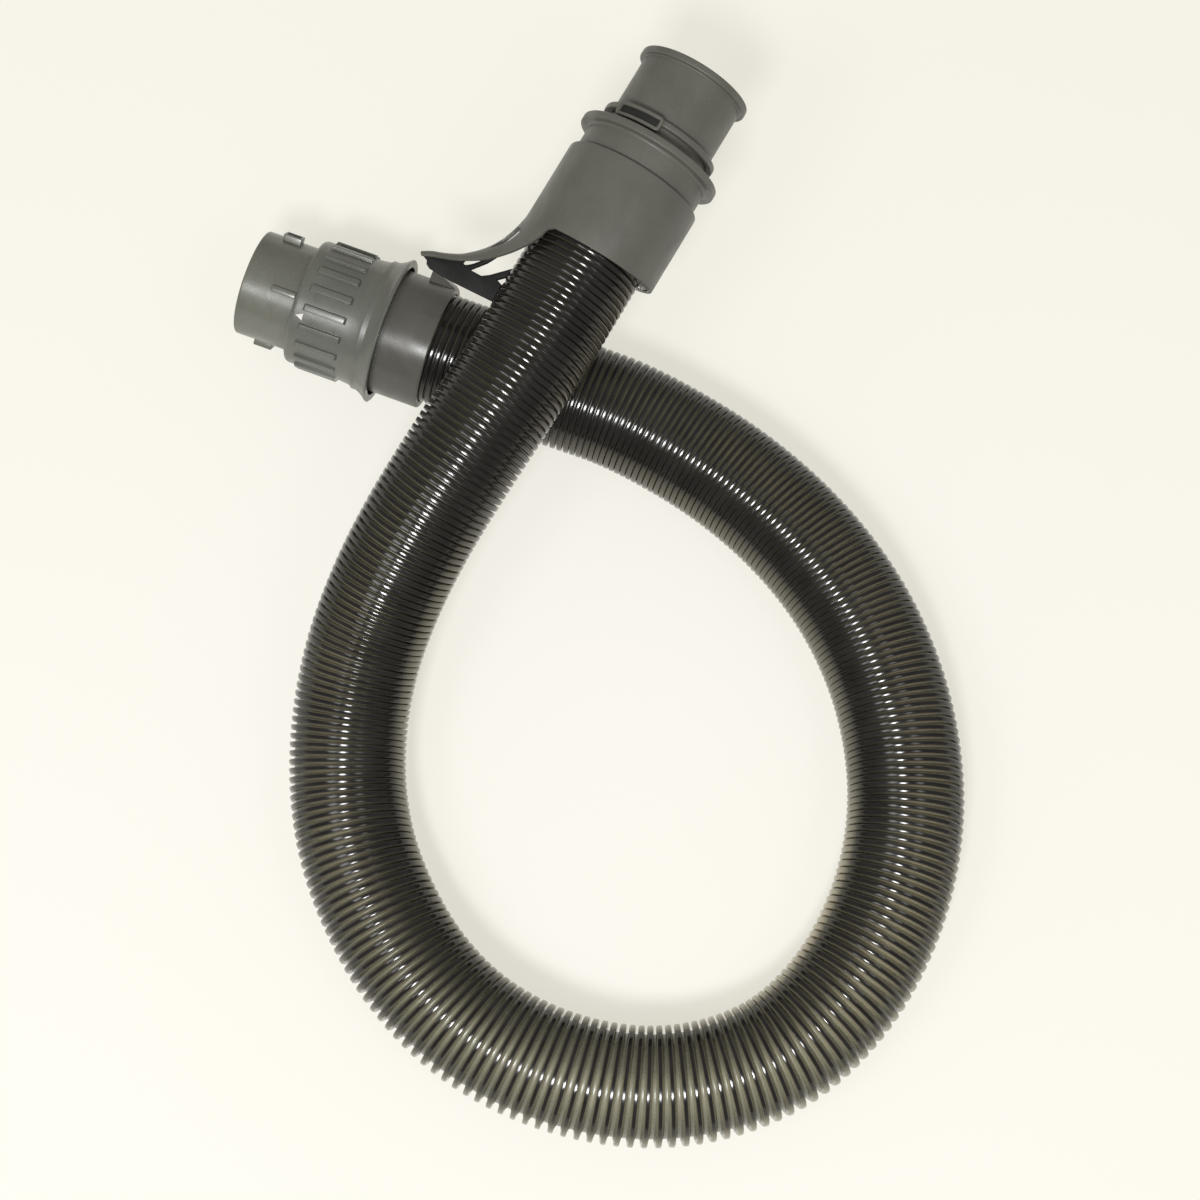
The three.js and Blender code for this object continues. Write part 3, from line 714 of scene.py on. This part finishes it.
                rings.append(ring_of(turn_at, radius))
        rings = [flat(-0.5, self.film_high), *rings, flat(self.turns - 0.5, self.film_high)]
        bore_rows = 96
        for k in range(bore_rows, -1, -1):
            rings.append(flat(-0.5 + self.turns * k / bore_rows, self.bore))
        for row, ring in enumerate(rings):
            after = rings[(row + 1) % len(rings)]
            for j in range(self.sides):
                bm.faces.new((ring[j], ring[j + 1], after[j + 1], after[j]))
        bmesh.ops.remove_doubles(bm, verts=bm.verts, dist=1e-6)
        return add_object("hose_film", bm, Matrix.Identity(4), material, 70)


# ---- frames of the fittings


def end_matrix(end: Vector, before: Vector) -> Matrix:
    """The frame of a fitting in millimetres: +Y outwards along the hose, +X to its right, +Z up."""
    outwards = (end - before).normalized()
    right = outwards.cross(UP).normalized()
    over = right.cross(outwards)
    turn = Matrix((right, outwards, over)).transposed().to_4x4()
    return Matrix.Translation(end) @ turn @ Matrix.Scale(MM, 4)


def stand_for(piece: Object, body: Body, slot: Slot, *nodes: str) -> None:
    """Makes a piece ride on a body and stand for solids, which it hides."""
    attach(piece, body.value)
    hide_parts(*nodes)


@dataclass(frozen=True)
class Fitting:
    """What the fittings share: their frame, the materials and the way a piece is added."""

    matrix: Matrix
    finishes: Finishes

    def add(self, name: str, bm: BMesh, material: Material, body: Body, node: str, slot=Slot.GREY) -> None:
        """Adds a piece that rides on a body and stands for a solid."""
        stand_for(add_object(name, bm, self.matrix, material), body, slot, node)


# ---- wand fitting


@dataclass(frozen=True)
class WandFitting(Fitting):
    """The swivelling collar and spigot that go in the wand, and the fixed cuff.

    Lengths are in millimetres, outwards from the hose's end.
    """

    cuff_bore: float = 25.3
    cuff_radius: float = 28.2
    cuff_back: float = -17.9
    cuff_wall: Pair = (8.1, 11.1)
    collar_bore: float = 24.1
    collar_radius: float = 28.3
    collar_shoulder: float = 12.7
    collar_front: float = 45.0
    skirt_bore: float = 29.9
    rim_start: float = 4.2
    flare: Table = (
        (33.3, 4.5), (33.1, 5.2), (32.0, 6.5), (30.8, 8.4), (29.7, 11), (28.9, 14), (28.45, 17.2),
        (28.3, 20.4),
    )
    spigot_radius: float = 23.8
    spigot_bore: float = 21.3
    spigot_start: float = 3.0
    spigot_end: float = 70.0
    snap_groove: Pair = (3.5, 5.7)
    bar_count: int = 20
    bar_phase: float = -6.0
    bar_span: Pair = (19.5, 40.5)
    bar_rise: float = 1.4
    bar_half: float = 1.5
    lug_size: Triple = (8.4, 6.2, 2.6)
    lug_middle: float = 57.8
    lug_angle: float = 56.0
    pocket_margin: float = 1.3
    key_size: Triple = (11.2, 1.35, 1.4)
    key_angle: float = -17.5
    mark_angle: float = -33.0
    tab_angle: float = 63.0
    tab_span: Pair = (-5.3, -17.3)

    def cuff(self) -> None:
        """Makes the fixed cuff with its wedge-shaped catch tab."""
        low, high = self.cuff_wall
        body = turned([
            (self.cuff_bore, self.cuff_back, 0.4), (self.cuff_radius, self.cuff_back, 0.9),
            (self.cuff_radius, high, 0.6), (self.collar_bore, high), (self.collar_bore, low),
            (self.cuff_bore, low),
        ])
        front, back = self.tab_span
        base = self.cuff_radius - SUNK
        top = self.cuff_radius + 4.2
        wedge = [(base, back), (self.cuff_radius, back), (top, front - 2), (top, front), (base, front)]
        tab = prism(wedge, -4.8, 4.8)
        for vert in tab.verts:
            if vert.co.x > self.cuff_radius + 1:
                vert.co.z *= 0.6
        round_edges(tab, 0.5)
        whole = gather(body, stand_at(tab, self.tab_angle))
        self.add("wand_cuff_shell", whole, self.finishes.cuff, Body.HOSE, "wand_cuff")

    def collar(self) -> None:
        """Makes the grip collar with its flared rim and raised bars."""
        back = self.rim_start
        flare = smooth_through([Vector(point) for point in self.flare], 4)
        body = turned([
            (self.collar_bore, self.collar_shoulder), (self.skirt_bore, self.collar_shoulder),
            (self.skirt_bore, back, 0.4), (self.flare[0][0] - 0.4, back), *map(tuple, flare),
            (self.collar_radius, self.collar_front, 2.4), (self.collar_bore, self.collar_front, 0.4),
        ])
        start, end = self.bar_span
        low, top, slope = self.collar_radius - SUNK, self.collar_radius + self.bar_rise, self.bar_rise
        outline = [(low, start), (top, start + slope), (top, end - slope), (low, end)]
        for i in range(self.bar_count):
            bar = prism(outline, -self.bar_half, self.bar_half)
            round_edges(bar, 0.18)
            gather(body, stand_at(bar, self.bar_phase + 360 * i / self.bar_count))
        finish = self.finishes.collar
        self.add("grip_collar_shell", body, finish, Body.WAND_END, "grip_collar", Slot.COOL_GREY)

    def lug(self, angle: float) -> BMesh:
        """Makes a catch lug with its sunk square pocket."""
        middle = self.lug_middle
        length, width, rise = self.lug_size
        low = (self.spigot_radius - SUNK, middle - length / 2, -width / 2)
        lug = block(low, (self.spigot_radius + rise, middle + length / 2, width / 2), 0.35)
        crown = max(lug.faces, key=lambda face: face.calc_center_median().x)
        bmesh.ops.inset_region(lug, faces=[crown], thickness=1.1, depth=0)
        bmesh.ops.inset_region(lug, faces=[crown], thickness=0.02, depth=-0.5)
        return stand_at(lug, angle)

    def pocket_shades(self) -> None:
        """Makes dark blocks in the lugs' sunk pockets: painted shade, standing for the shadow deep in the
        pockets.
        """
        middle, margin = self.lug_middle, self.pocket_margin
        length, width, rise = self.lug_size
        top = self.spigot_radius + rise - 0.3
        floors = []
        for half in (0, 180):
            low = (top - 0.6, middle + margin - length / 2, margin - width / 2)
            floor = block(low, (top, middle - margin + length / 2, width / 2 - margin), 0.05)
            floors.append(stand_at(floor, self.lug_angle + half))
        self.add("lug_pocket_shades", gather(*floors), self.finishes.seal, Body.WAND_END, "wand_spigot")

    def spigot(self) -> None:
        """Makes the plain tube with its two lugs and its key rib."""
        body = turned([
            (self.spigot_bore, self.spigot_start), (self.spigot_radius, self.spigot_start),
            *groove(self.spigot_radius, self.snap_groove), (self.spigot_radius, self.spigot_end, 0.9),
            (self.spigot_bore, self.spigot_end, 0.6),
        ])
        key_start = self.collar_front + 0.3
        length, half, rise = self.key_size
        base = (self.spigot_radius - SUNK, key_start, -half)
        key = block(base, (self.spigot_radius + rise, key_start + length, half), 0.4)
        lugs = [self.lug(self.lug_angle + half) for half in (0, 180)]
        whole = gather(body, stand_at(key, self.key_angle), *lugs)
        self.add("wand_spigot_tube", whole, self.finishes.spigot, Body.WAND_END, "wand_spigot")

    def mark(self) -> None:
        """Makes the small white triangle that points outwards."""
        tip = self.collar_front - 2.8
        flat = prism([(0, tip), (-1.6, tip - 3.2), (1.6, tip - 3.2)], -0.25, 0.25)
        flat.transform(Matrix.Translation((self.collar_radius - 0.05, 0, 0)) @ about_y(90))
        stand_at(flat, self.mark_angle)
        self.add("white_triangle", flat, self.finishes.white, Body.WAND_END, "alignment_mark", Slot.WHITE)

    def build(self) -> None:
        """Makes the fitting's pieces."""
        for make in (self.cuff, self.collar, self.spigot, self.pocket_shades, self.mark):
            make()


# ---- machine fitting


@dataclass(frozen=True)
class MachineFitting(Fitting):
    """The swivelling duct tube with its flange and catch ring, and the fixed sleeve with its horn.

    Lengths are in millimetres, outwards from the hose's end.
    """

    journal: float = 23.9
    duct_radius: float = 23.6
    duct_bore: float = 21.2
    duct_start: float = 3.0
    duct_end: float = 65.8
    duct_rim: float = 25.9
    rim_thickness: float = 3.2
    snap_groove: Pair = (7.4, 9.6)
    neck: float = 28.6
    neck_start: float = 15.1
    lip_bore: float = 26.4
    lip_start: float = 13.9
    flange: float = 32.8
    flange_span: Pair = (24.5, 27.8)
    ring: float = 26.8
    ring_span: Pair = (33.6, 36.4)
    loop_middle: float = 32.9
    loop_size: Pair = (23.4, 6.5)
    loop_top: float = 29.5
    loop_bar: float = 1.55
    loop_angle: float = -15.0
    sleeve: float = 31.1
    sleeve_bore: float = 29.0
    sleeve_wall: Pair = (9.6, 13.5)
    mouth: float = -24.2
    mouth_slope: float = 6.2
    ear_span: Pair = (-24.8, -22.8)
    screw_circle: float = 27.0
    screw_angles: tuple[tuple[str, float], ...] = (("right", 80), ("left", -100))

    def duct(self) -> None:
        """Makes the duct tube with its beaded rim."""
        rim_start = self.duct_end - self.rim_thickness
        body = turned([
            (self.duct_bore, self.duct_start), (self.duct_radius, self.duct_start),
            *groove(self.duct_radius, self.snap_groove), (self.duct_radius, rim_start, 0.6),
            (self.duct_rim, rim_start, 0.7), (self.duct_rim, self.duct_end, 0.8),
            (self.duct_bore, self.duct_end, 0.9),
        ])
        self.add("duct_tube_shell", body, self.finishes.grey, Body.MACHINE_END, "duct_tube")

    def flange_ring(self) -> None:
        """Makes the neck, with its lip over the bearing ring, and the flange."""
        back, front = self.flange_span
        body = turned([
            (self.journal, self.neck_start), (self.lip_bore, self.neck_start),
            (self.lip_bore, self.lip_start), (self.neck, self.lip_start, 0.3), (self.neck, back, 1.4),
            (self.flange, back, 0.6), (self.flange, front, 0.8), (self.journal, front, 0.3),
        ])
        self.add("swivel_flange_ring", body, self.finishes.grey, Body.MACHINE_END, "swivel_flange")

    def loop_frame(self) -> BMesh:
        """Makes the rounded rectangular catch loop, bent round the catch ring."""
        length, height = self.loop_size
        bar, rise = self.loop_bar, self.loop_top - self.duct_radius
        outer = [(0, 0), (0, rise - 0.4), (0.12, rise - 0.12), (0.4, rise)]
        section = outer + [(bar - inset, up) for inset, up in reversed(outer)]
        shares = (-0.5, -0.3, -0.1, 0.1, 0.3, 0.5)
        bm = bmesh.new()
        loops = []
        for inset, up in section:
            x, y = length / 2 - inset, height / 2 - inset
            corner = 2.2 - inset
            corners = [(-x, -y, corner), *((x * share, -y) for share in shares), (x, -y, corner)]
            corners += [(x, y, corner), *((-x * share, y) for share in shares), (-x, y, corner)]
            verts = [bm.verts.new((px, py + self.loop_middle, up)) for px, py in rounded(corners, 6)]
            loops.append([bm.edges.new((verts[i - 1], verts[i])) for i in range(len(verts))])
        for low, high in zip(loops, [*loops[1:], loops[0]]):
            bmesh.ops.bridge_loops(bm, edges=low + high)
        for vert in bm.verts:
            radius, angle = self.duct_radius + vert.co.z - 0.3, vert.co.x / self.loop_top
            vert.co = Vector((radius * math.sin(angle), vert.co.y, radius * math.cos(angle)))
        bm.transform(about_y(self.loop_angle))
        return bm

    def catch(self) -> None:
        """Makes the catch ring with its loop."""
        low, high = self.ring_span
        slot = math.degrees((self.loop_size[0] / 2 - self.loop_bar) / self.ring)
        section = [(self.journal, low), (self.ring, low, 0.7), (self.ring, high, 0.7), (self.journal, high)]
        body = stand_at(turned(section, 96, 2 * slot), self.loop_angle + slot)
        whole = gather(body, self.loop_frame())
        self.add("catch_ring_band", whole, self.finishes.grey, Body.MACHINE_END, "catch_ring")

    def slot_painted_shade(self) -> None:
        """Makes a dark plate in the loop's slot: painted shade, standing for the shadow deep in the slot."""
        length, height = self.loop_size
        slot = math.degrees((length / 2 - self.loop_bar) / self.loop_top)
        half = height / 2 - self.loop_bar
        low, high = self.loop_middle - half, self.loop_middle + half
        top = self.loop_top - 1.4
        section = [(top - 1, low), (top, low), (top, high), (top - 1, high)]
        body = stand_at(turned(section, 12, 360 - 2 * slot), self.loop_angle - slot)
        self.add("slot_painted_shade", body, self.finishes.seal, Body.MACHINE_END, "catch_ring")

    def sleeve_shell(self) -> None:
        """Makes the sleeve with its slanted mouth and its two screw ears."""
        low, high = self.sleeve_wall
        longest = self.mouth - 12
        body = turned([
            (self.sleeve_bore, longest), (self.sleeve, longest), (self.sleeve, high, 1.1),
            (self.journal, high), (self.journal, low), (self.sleeve_bore, low),
        ])
        slope = math.radians(self.mouth_slope)
        cut = bmesh.ops.bisect_plane(
            body, geom=[*body.verts, *body.edges, *body.faces], plane_co=(0, self.mouth, 0),
            plane_no=(0, -math.cos(slope), -math.sin(slope)), clear_outer=True,
        )["geom_cut"]
        rim = bmesh.ops.bridge_loops(body, edges=[e for e in cut if isinstance(e, BMEdge)])
        edges = {edge for face in rim["faces"] for edge in face.edges if edge.calc_face_angle(0) > 1}
        round_edges(body, 0.45, edges)
        back, front = self.ear_span
        for _, angle in self.screw_angles:
            ear = block((25.5, back, -3), (self.sleeve_bore + SUNK, front, 3), 0.4)
            gather(body, stand_at(ear, angle))
        self.add("horn_sleeve_shell", body, self.finishes.horn, Body.HOSE, "horn_sleeve", Slot.HORN)

    def screw(self, name: str, angle: float) -> None:
        """Makes a sleeve screw with a sunk drive in its head."""
        top = self.ear_span[0] - 0.3
        head = [(0, top - 1), (0.75, top - 1.8), (1.6, top - 1.8, 0.6), (1.6, top), (0.9, top)]
        body = turned([(0.9, top + 12), (0, top + 12), *head], 24)
        bmesh.ops.remove_doubles(body, verts=body.verts, dist=1e-4)
        body.transform(Matrix.Translation((self.screw_circle, 0, 0)))
        self.add(name, stand_at(body, angle), self.finishes.steel, Body.HOSE, f"sleeve_{name}", Slot.STEEL)

    def build(self) -> None:
        """Makes the fitting's pieces."""
        horn = Horn(self.matrix, self.finishes, self.sleeve, self.mouth)
        for make in (self.duct, self.flange_ring, self.catch, self.slot_painted_shade, self.sleeve_shell):
            make()
        horn.strap()
        horn.web()
        for side, angle in self.screw_angles:
            self.screw(f"screw_{side}", angle)


@dataclass(frozen=True)
class Horn(Fitting):
    """The curved guide that springs from the sleeve's left side: a bent strap over a flat web.

    Its points are (left of the sleeve's side, outwards from the mouth), in millimetres.
    """

    sleeve: float
    mouth: float
    strap_thickness: float = 1.5
    web_thickness: float = 2.4
    low_angle: Table = ((4.5, -12), (6, 5), (8.5, 5), (10, -12))
    edge: Table = (
        (0.03, 7, 1.0, 80), (0.03, 3.5, 1.0, 80), (0.05, 1.2, 1.0, 78), (0.12, 0, 1.0, 68.5),
        (0.35, -1.4, 0.99, 62.3), (0.8, -3.4, 0.96, 62.8), (1.3, -5.3, 0.88, 64.8), (2.2, -7.9, 0.74, 67),
        (4.6, -13.2, 0.52, 69), (8.4, -18.8, 0.39, 68), (13.2, -23.5, 0.28, 66), (16.7, -26.2, 0.22, 62),
        (22.5, -29, 0.16, 64), (28.3, -31.2, 0.13, 68), (32.1, -33.4, 0.1, 71),
    )
    web_row: int = 8
    tip: Table = ((32.2, -34.2), (28, -35.7), (27.2, -37.3), (25.5, -38.2), (15.8, -38.5))
    inner: Table = (
        (-5.9, -37.3), (-5.9, -29.3), (-2.7, -28.2), (-5.9, -25), (-5.9, -20.8), (1.1, -28), (4, -30.1),
        (9.6, -30.2), (4.8, -24), (2.7, -20), (3.1, -16),
    )
    window: Table = (
        (13.7, -28.9), (12.7, -29.4), (10.5, -27.9), (8, -25), (6.5, -22.4), (10.1, -24.4), (13.2, -27),
    )
    slit: Table = ((6.125, 23, 40), (6.8, 22, 42), (7.7, 23, 45), (8.25, 27, 43), (8.75, 37, 39.5))
    column_counts: tuple[int, int, int] = (6, 3, 6)

    def place(self, point: tuple[float, ...]) -> Vector:
        """Gives a point of the horn's middle plane in the fitting's frame."""
        return Vector((-self.sleeve - point[0], self.mouth + point[1]))

    def columns(self, station: float, high: float) -> list[float]:
        """Gives the angles across the strap: below the slit, over the slit and above it."""
        stops = (*between(self.low_angle, station), *between(self.slit, station), high)
        angles = []
        for low, high, count in zip(stops, stops[1:], self.column_counts):
            angles += [low + (high - low) * k / count for k in range(count)]
        return [*angles, stops[-1]]

    def strap(self) -> None:
        """Makes the bent strap as a sheet with its slit, then gives it its thickness."""
        steps = 8
        corners = [Vector((*self.place(p), p[2] * self.sleeve, p[3] / 10)) for p in self.edge]
        line = smooth_through(corners, steps)
        bm = bmesh.new()
        rows = []
        for i, (x, y, bend, tenth) in enumerate(line):
            before, after = line[max(i - 1, 0)], line[min(i + 1, len(line) - 1)]
            along = Vector((after.x - before.x, after.y - before.y)).normalized()
            outwards = Vector((along.y, -along.x))
            row = []
            for angle in self.columns(i / steps, 10 * tenth):
                turn = math.radians(angle)
                reach = bend * math.cos(turn) - bend
                flat = (x + outwards.x * reach, y + outwards.y * reach)
                row.append(bm.verts.new((*flat, bend * math.sin(turn))))
            rows.append(row)
        first, last = round(self.slit[0][0] * steps), round(self.slit[-1][0] * steps)
        below, across, above = self.column_counts
        for i, (row, after) in enumerate(zip(rows, rows[1:])):
            for j in range(below + across + above):
                if not (first <= i < last and below <= j < below + across):
                    bm.faces.new((row[j], row[j + 1], after[j + 1], after[j]))
        bmesh.ops.recalc_face_normals(bm, faces=bm.faces)
        middle = rows[4][below // 2]
        if middle.link_faces[0].normal.x > 0:
            bmesh.ops.reverse_faces(bm, faces=bm.faces)
        bmesh.ops.solidify(bm, geom=bm.faces[:], thickness=self.strap_thickness)
        round_edges(bm, 0.35, [edge for edge in bm.edges if edge.calc_face_angle(0) > 1.2], 2)
        self.add("horn_strap", bm, self.finishes.horn, Body.HOSE, "horn_sleeve", Slot.HORN)

    def web(self) -> None:
        """Makes the flat web with its windows from filled outlines, in a near-black finish that paints the
        shade it lies in.
        """
        inside = [(left - 0.6, y - 0.4) for left, y, *_ in self.edge[self.web_row : -1]]
        outline = [self.place(point) for point in (*inside, *self.tip, *self.inner)]
        curve = bpy.data.curves.new("horn_web_outline", "CURVE")
        curve.dimensions = "2D"
        curve.fill_mode = "BOTH"
        bevel = 0.5
        curve.extrude = self.web_thickness / 2 - bevel
        curve.bevel_depth = bevel
        curve.bevel_resolution = 2
        curve.offset = -bevel
        for points in (outline, smooth_through([self.place(p) for p in self.window], 6, closed=True)):
            spline = curve.splines.new("POLY")
            spline.points.add(len(points) - 1)
            for target, point in zip(spline.points, points):
                target.co = (point.x, point.y, 0, 1)
            spline.use_cyclic_u = True
        holder = bpy.data.objects.new(curve.name, curve)
        mesh = bpy.data.meshes.new_from_object(holder)
        bm = bmesh.new()
        bm.from_mesh(mesh)
        bmesh.ops.remove_doubles(bm, verts=bm.verts, dist=1e-4)
        bpy.data.objects.remove(holder)
        bpy.data.curves.remove(curve)
        bpy.data.meshes.remove(mesh)
        self.add("horn_web", bm, self.finishes.web, Body.HOSE, "horn_sleeve", Slot.HORN)


# ---- the scene


def add_camera() -> None:
    """Adds the camera at the photograph's viewing angle."""
    data = bpy.data.cameras.new("camera")
    data.lens = 72
    data.sensor_width = 36
    data.clip_start = 0.05
    camera = bpy.data.objects.new("camera", data)
    camera.location = Vector((49.82, -427.75, 1036.25)) * MM
    target = Vector((49.82, -150.09, 0)) * MM
    camera.rotation_euler = (target - camera.location).to_track_quat("-Z", "Y").to_euler()
    bpy.context.scene.collection.objects.link(camera)
    bpy.context.scene.camera = camera


def add_light(name: str, location: Triple, size: float, energy: float) -> None:
    """Adds a square soft light, in metres, that faces the middle of the part."""
    data = bpy.data.lights.new(name, "AREA")
    data.size = size
    data.energy = energy
    light = bpy.data.objects.new(name, data)
    light.location = location
    aim = MIDDLE - light.location
    light.rotation_euler = aim.to_track_quat("-Z", "Y").to_euler()
    bpy.context.scene.collection.objects.link(light)


def floor_material() -> Material:
    """Makes the pale floor, which takes the shadows and is lifted towards white where it is seen."""
    graph = Graph("pale_floor")
    soft = graph.spread(graph.noise(3, 2), (0.3, 0.7), (0, 1))
    graph.set(Roughness=0.85)
    nodes, link = graph.nodes, graph.wire
    path = nodes.new("ShaderNodeLightPath")
    seen = path.outputs["Is Camera Ray"]
    for name in ("Is Glossy Ray", "Is Transmission Ray"):
        either = nodes.new("ShaderNodeMath")
        either.operation = "MAXIMUM"
        link(seen, either.inputs[0])
        link(path.outputs[name], either.inputs[1])
        seen = either.outputs["Value"]
    pale = graph.mix(soft, (0.93, 0.93, 0.92), (0.95, 0.95, 0.94))
    graph.link(graph.mix(seen, (0.5, 0.5, 0.5), pale), "Base Color")
    shown = nodes.new("ShaderNodeEmission")
    link(graph.mix(soft, (1, 0.97, 0.86), (1, 0.975, 0.87)), shown.inputs["Color"])
    blend = nodes.new("ShaderNodeMixShader")
    link(graph.spread(seen, (0, 1), (0, FLOOR_GLOW)), blend.inputs["Fac"])
    link(graph.shader.outputs["BSDF"], blend.inputs[1])
    link(shown.outputs["Emission"], blend.inputs[2])
    link(blend.outputs["Shader"], nodes["Material Output"].inputs["Surface"])
    return graph.material


def add_studio() -> None:
    """Adds the pale floor, the lights and the world."""
    bm = bmesh.new()
    bmesh.ops.create_grid(bm, x_segments=1, y_segments=1, size=3)
    floor = add_object("floor", bm, Matrix.Translation(MIDDLE - UP * 0.2 * MM), floor_material())
    add_light("key", (-0.175, -1.05, 1.59), 0.29, 18)
    add_light("left_panel", (-0.8, -0.82, 1.53), 0.5, 5)
    add_light("right_panel", (0.76, -0.82, 1.53), 0.4, 1.8)
    world = bpy.data.worlds.new("studio")
    world.use_nodes = True
    background = world.node_tree.nodes["Background"]
    background.inputs["Color"].default_value = (1, 0.965, 0.88, 1)
    background.inputs["Strength"].default_value = 0.36
    bpy.context.scene.world = world
    bpy.context.scene.view_settings.view_transform = "Standard"


def add_hose(finishes: Finishes) -> None:
    line = HoseLine(ROUTE)
    hose = StretchHose(line)
    film = hose.film(finishes.film)
    ribs = hose.ribs(finishes.rib)
    for piece in (film, ribs):
        stand_for(piece, Body.HOSE, Slot.HOSE, "stretch_hose")
    log.info("hose: %.3f m", line.length)


def main() -> None:
    """Builds the scene."""
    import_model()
    add_camera()
    finishes = Finishes()
    add_hose(finishes)
    WandFitting(end_matrix(ROUTE[-1], ROUTE[-2]), finishes).build()
    MachineFitting(end_matrix(ROUTE[0], ROUTE[1]), finishes).build()
    for node, material in finishes.for_nodes().items():
        materials = bpy.data.objects[node].data.materials
        materials.clear()
        materials.append(material)
    add_studio()


if __name__ == "__main__":
    main()
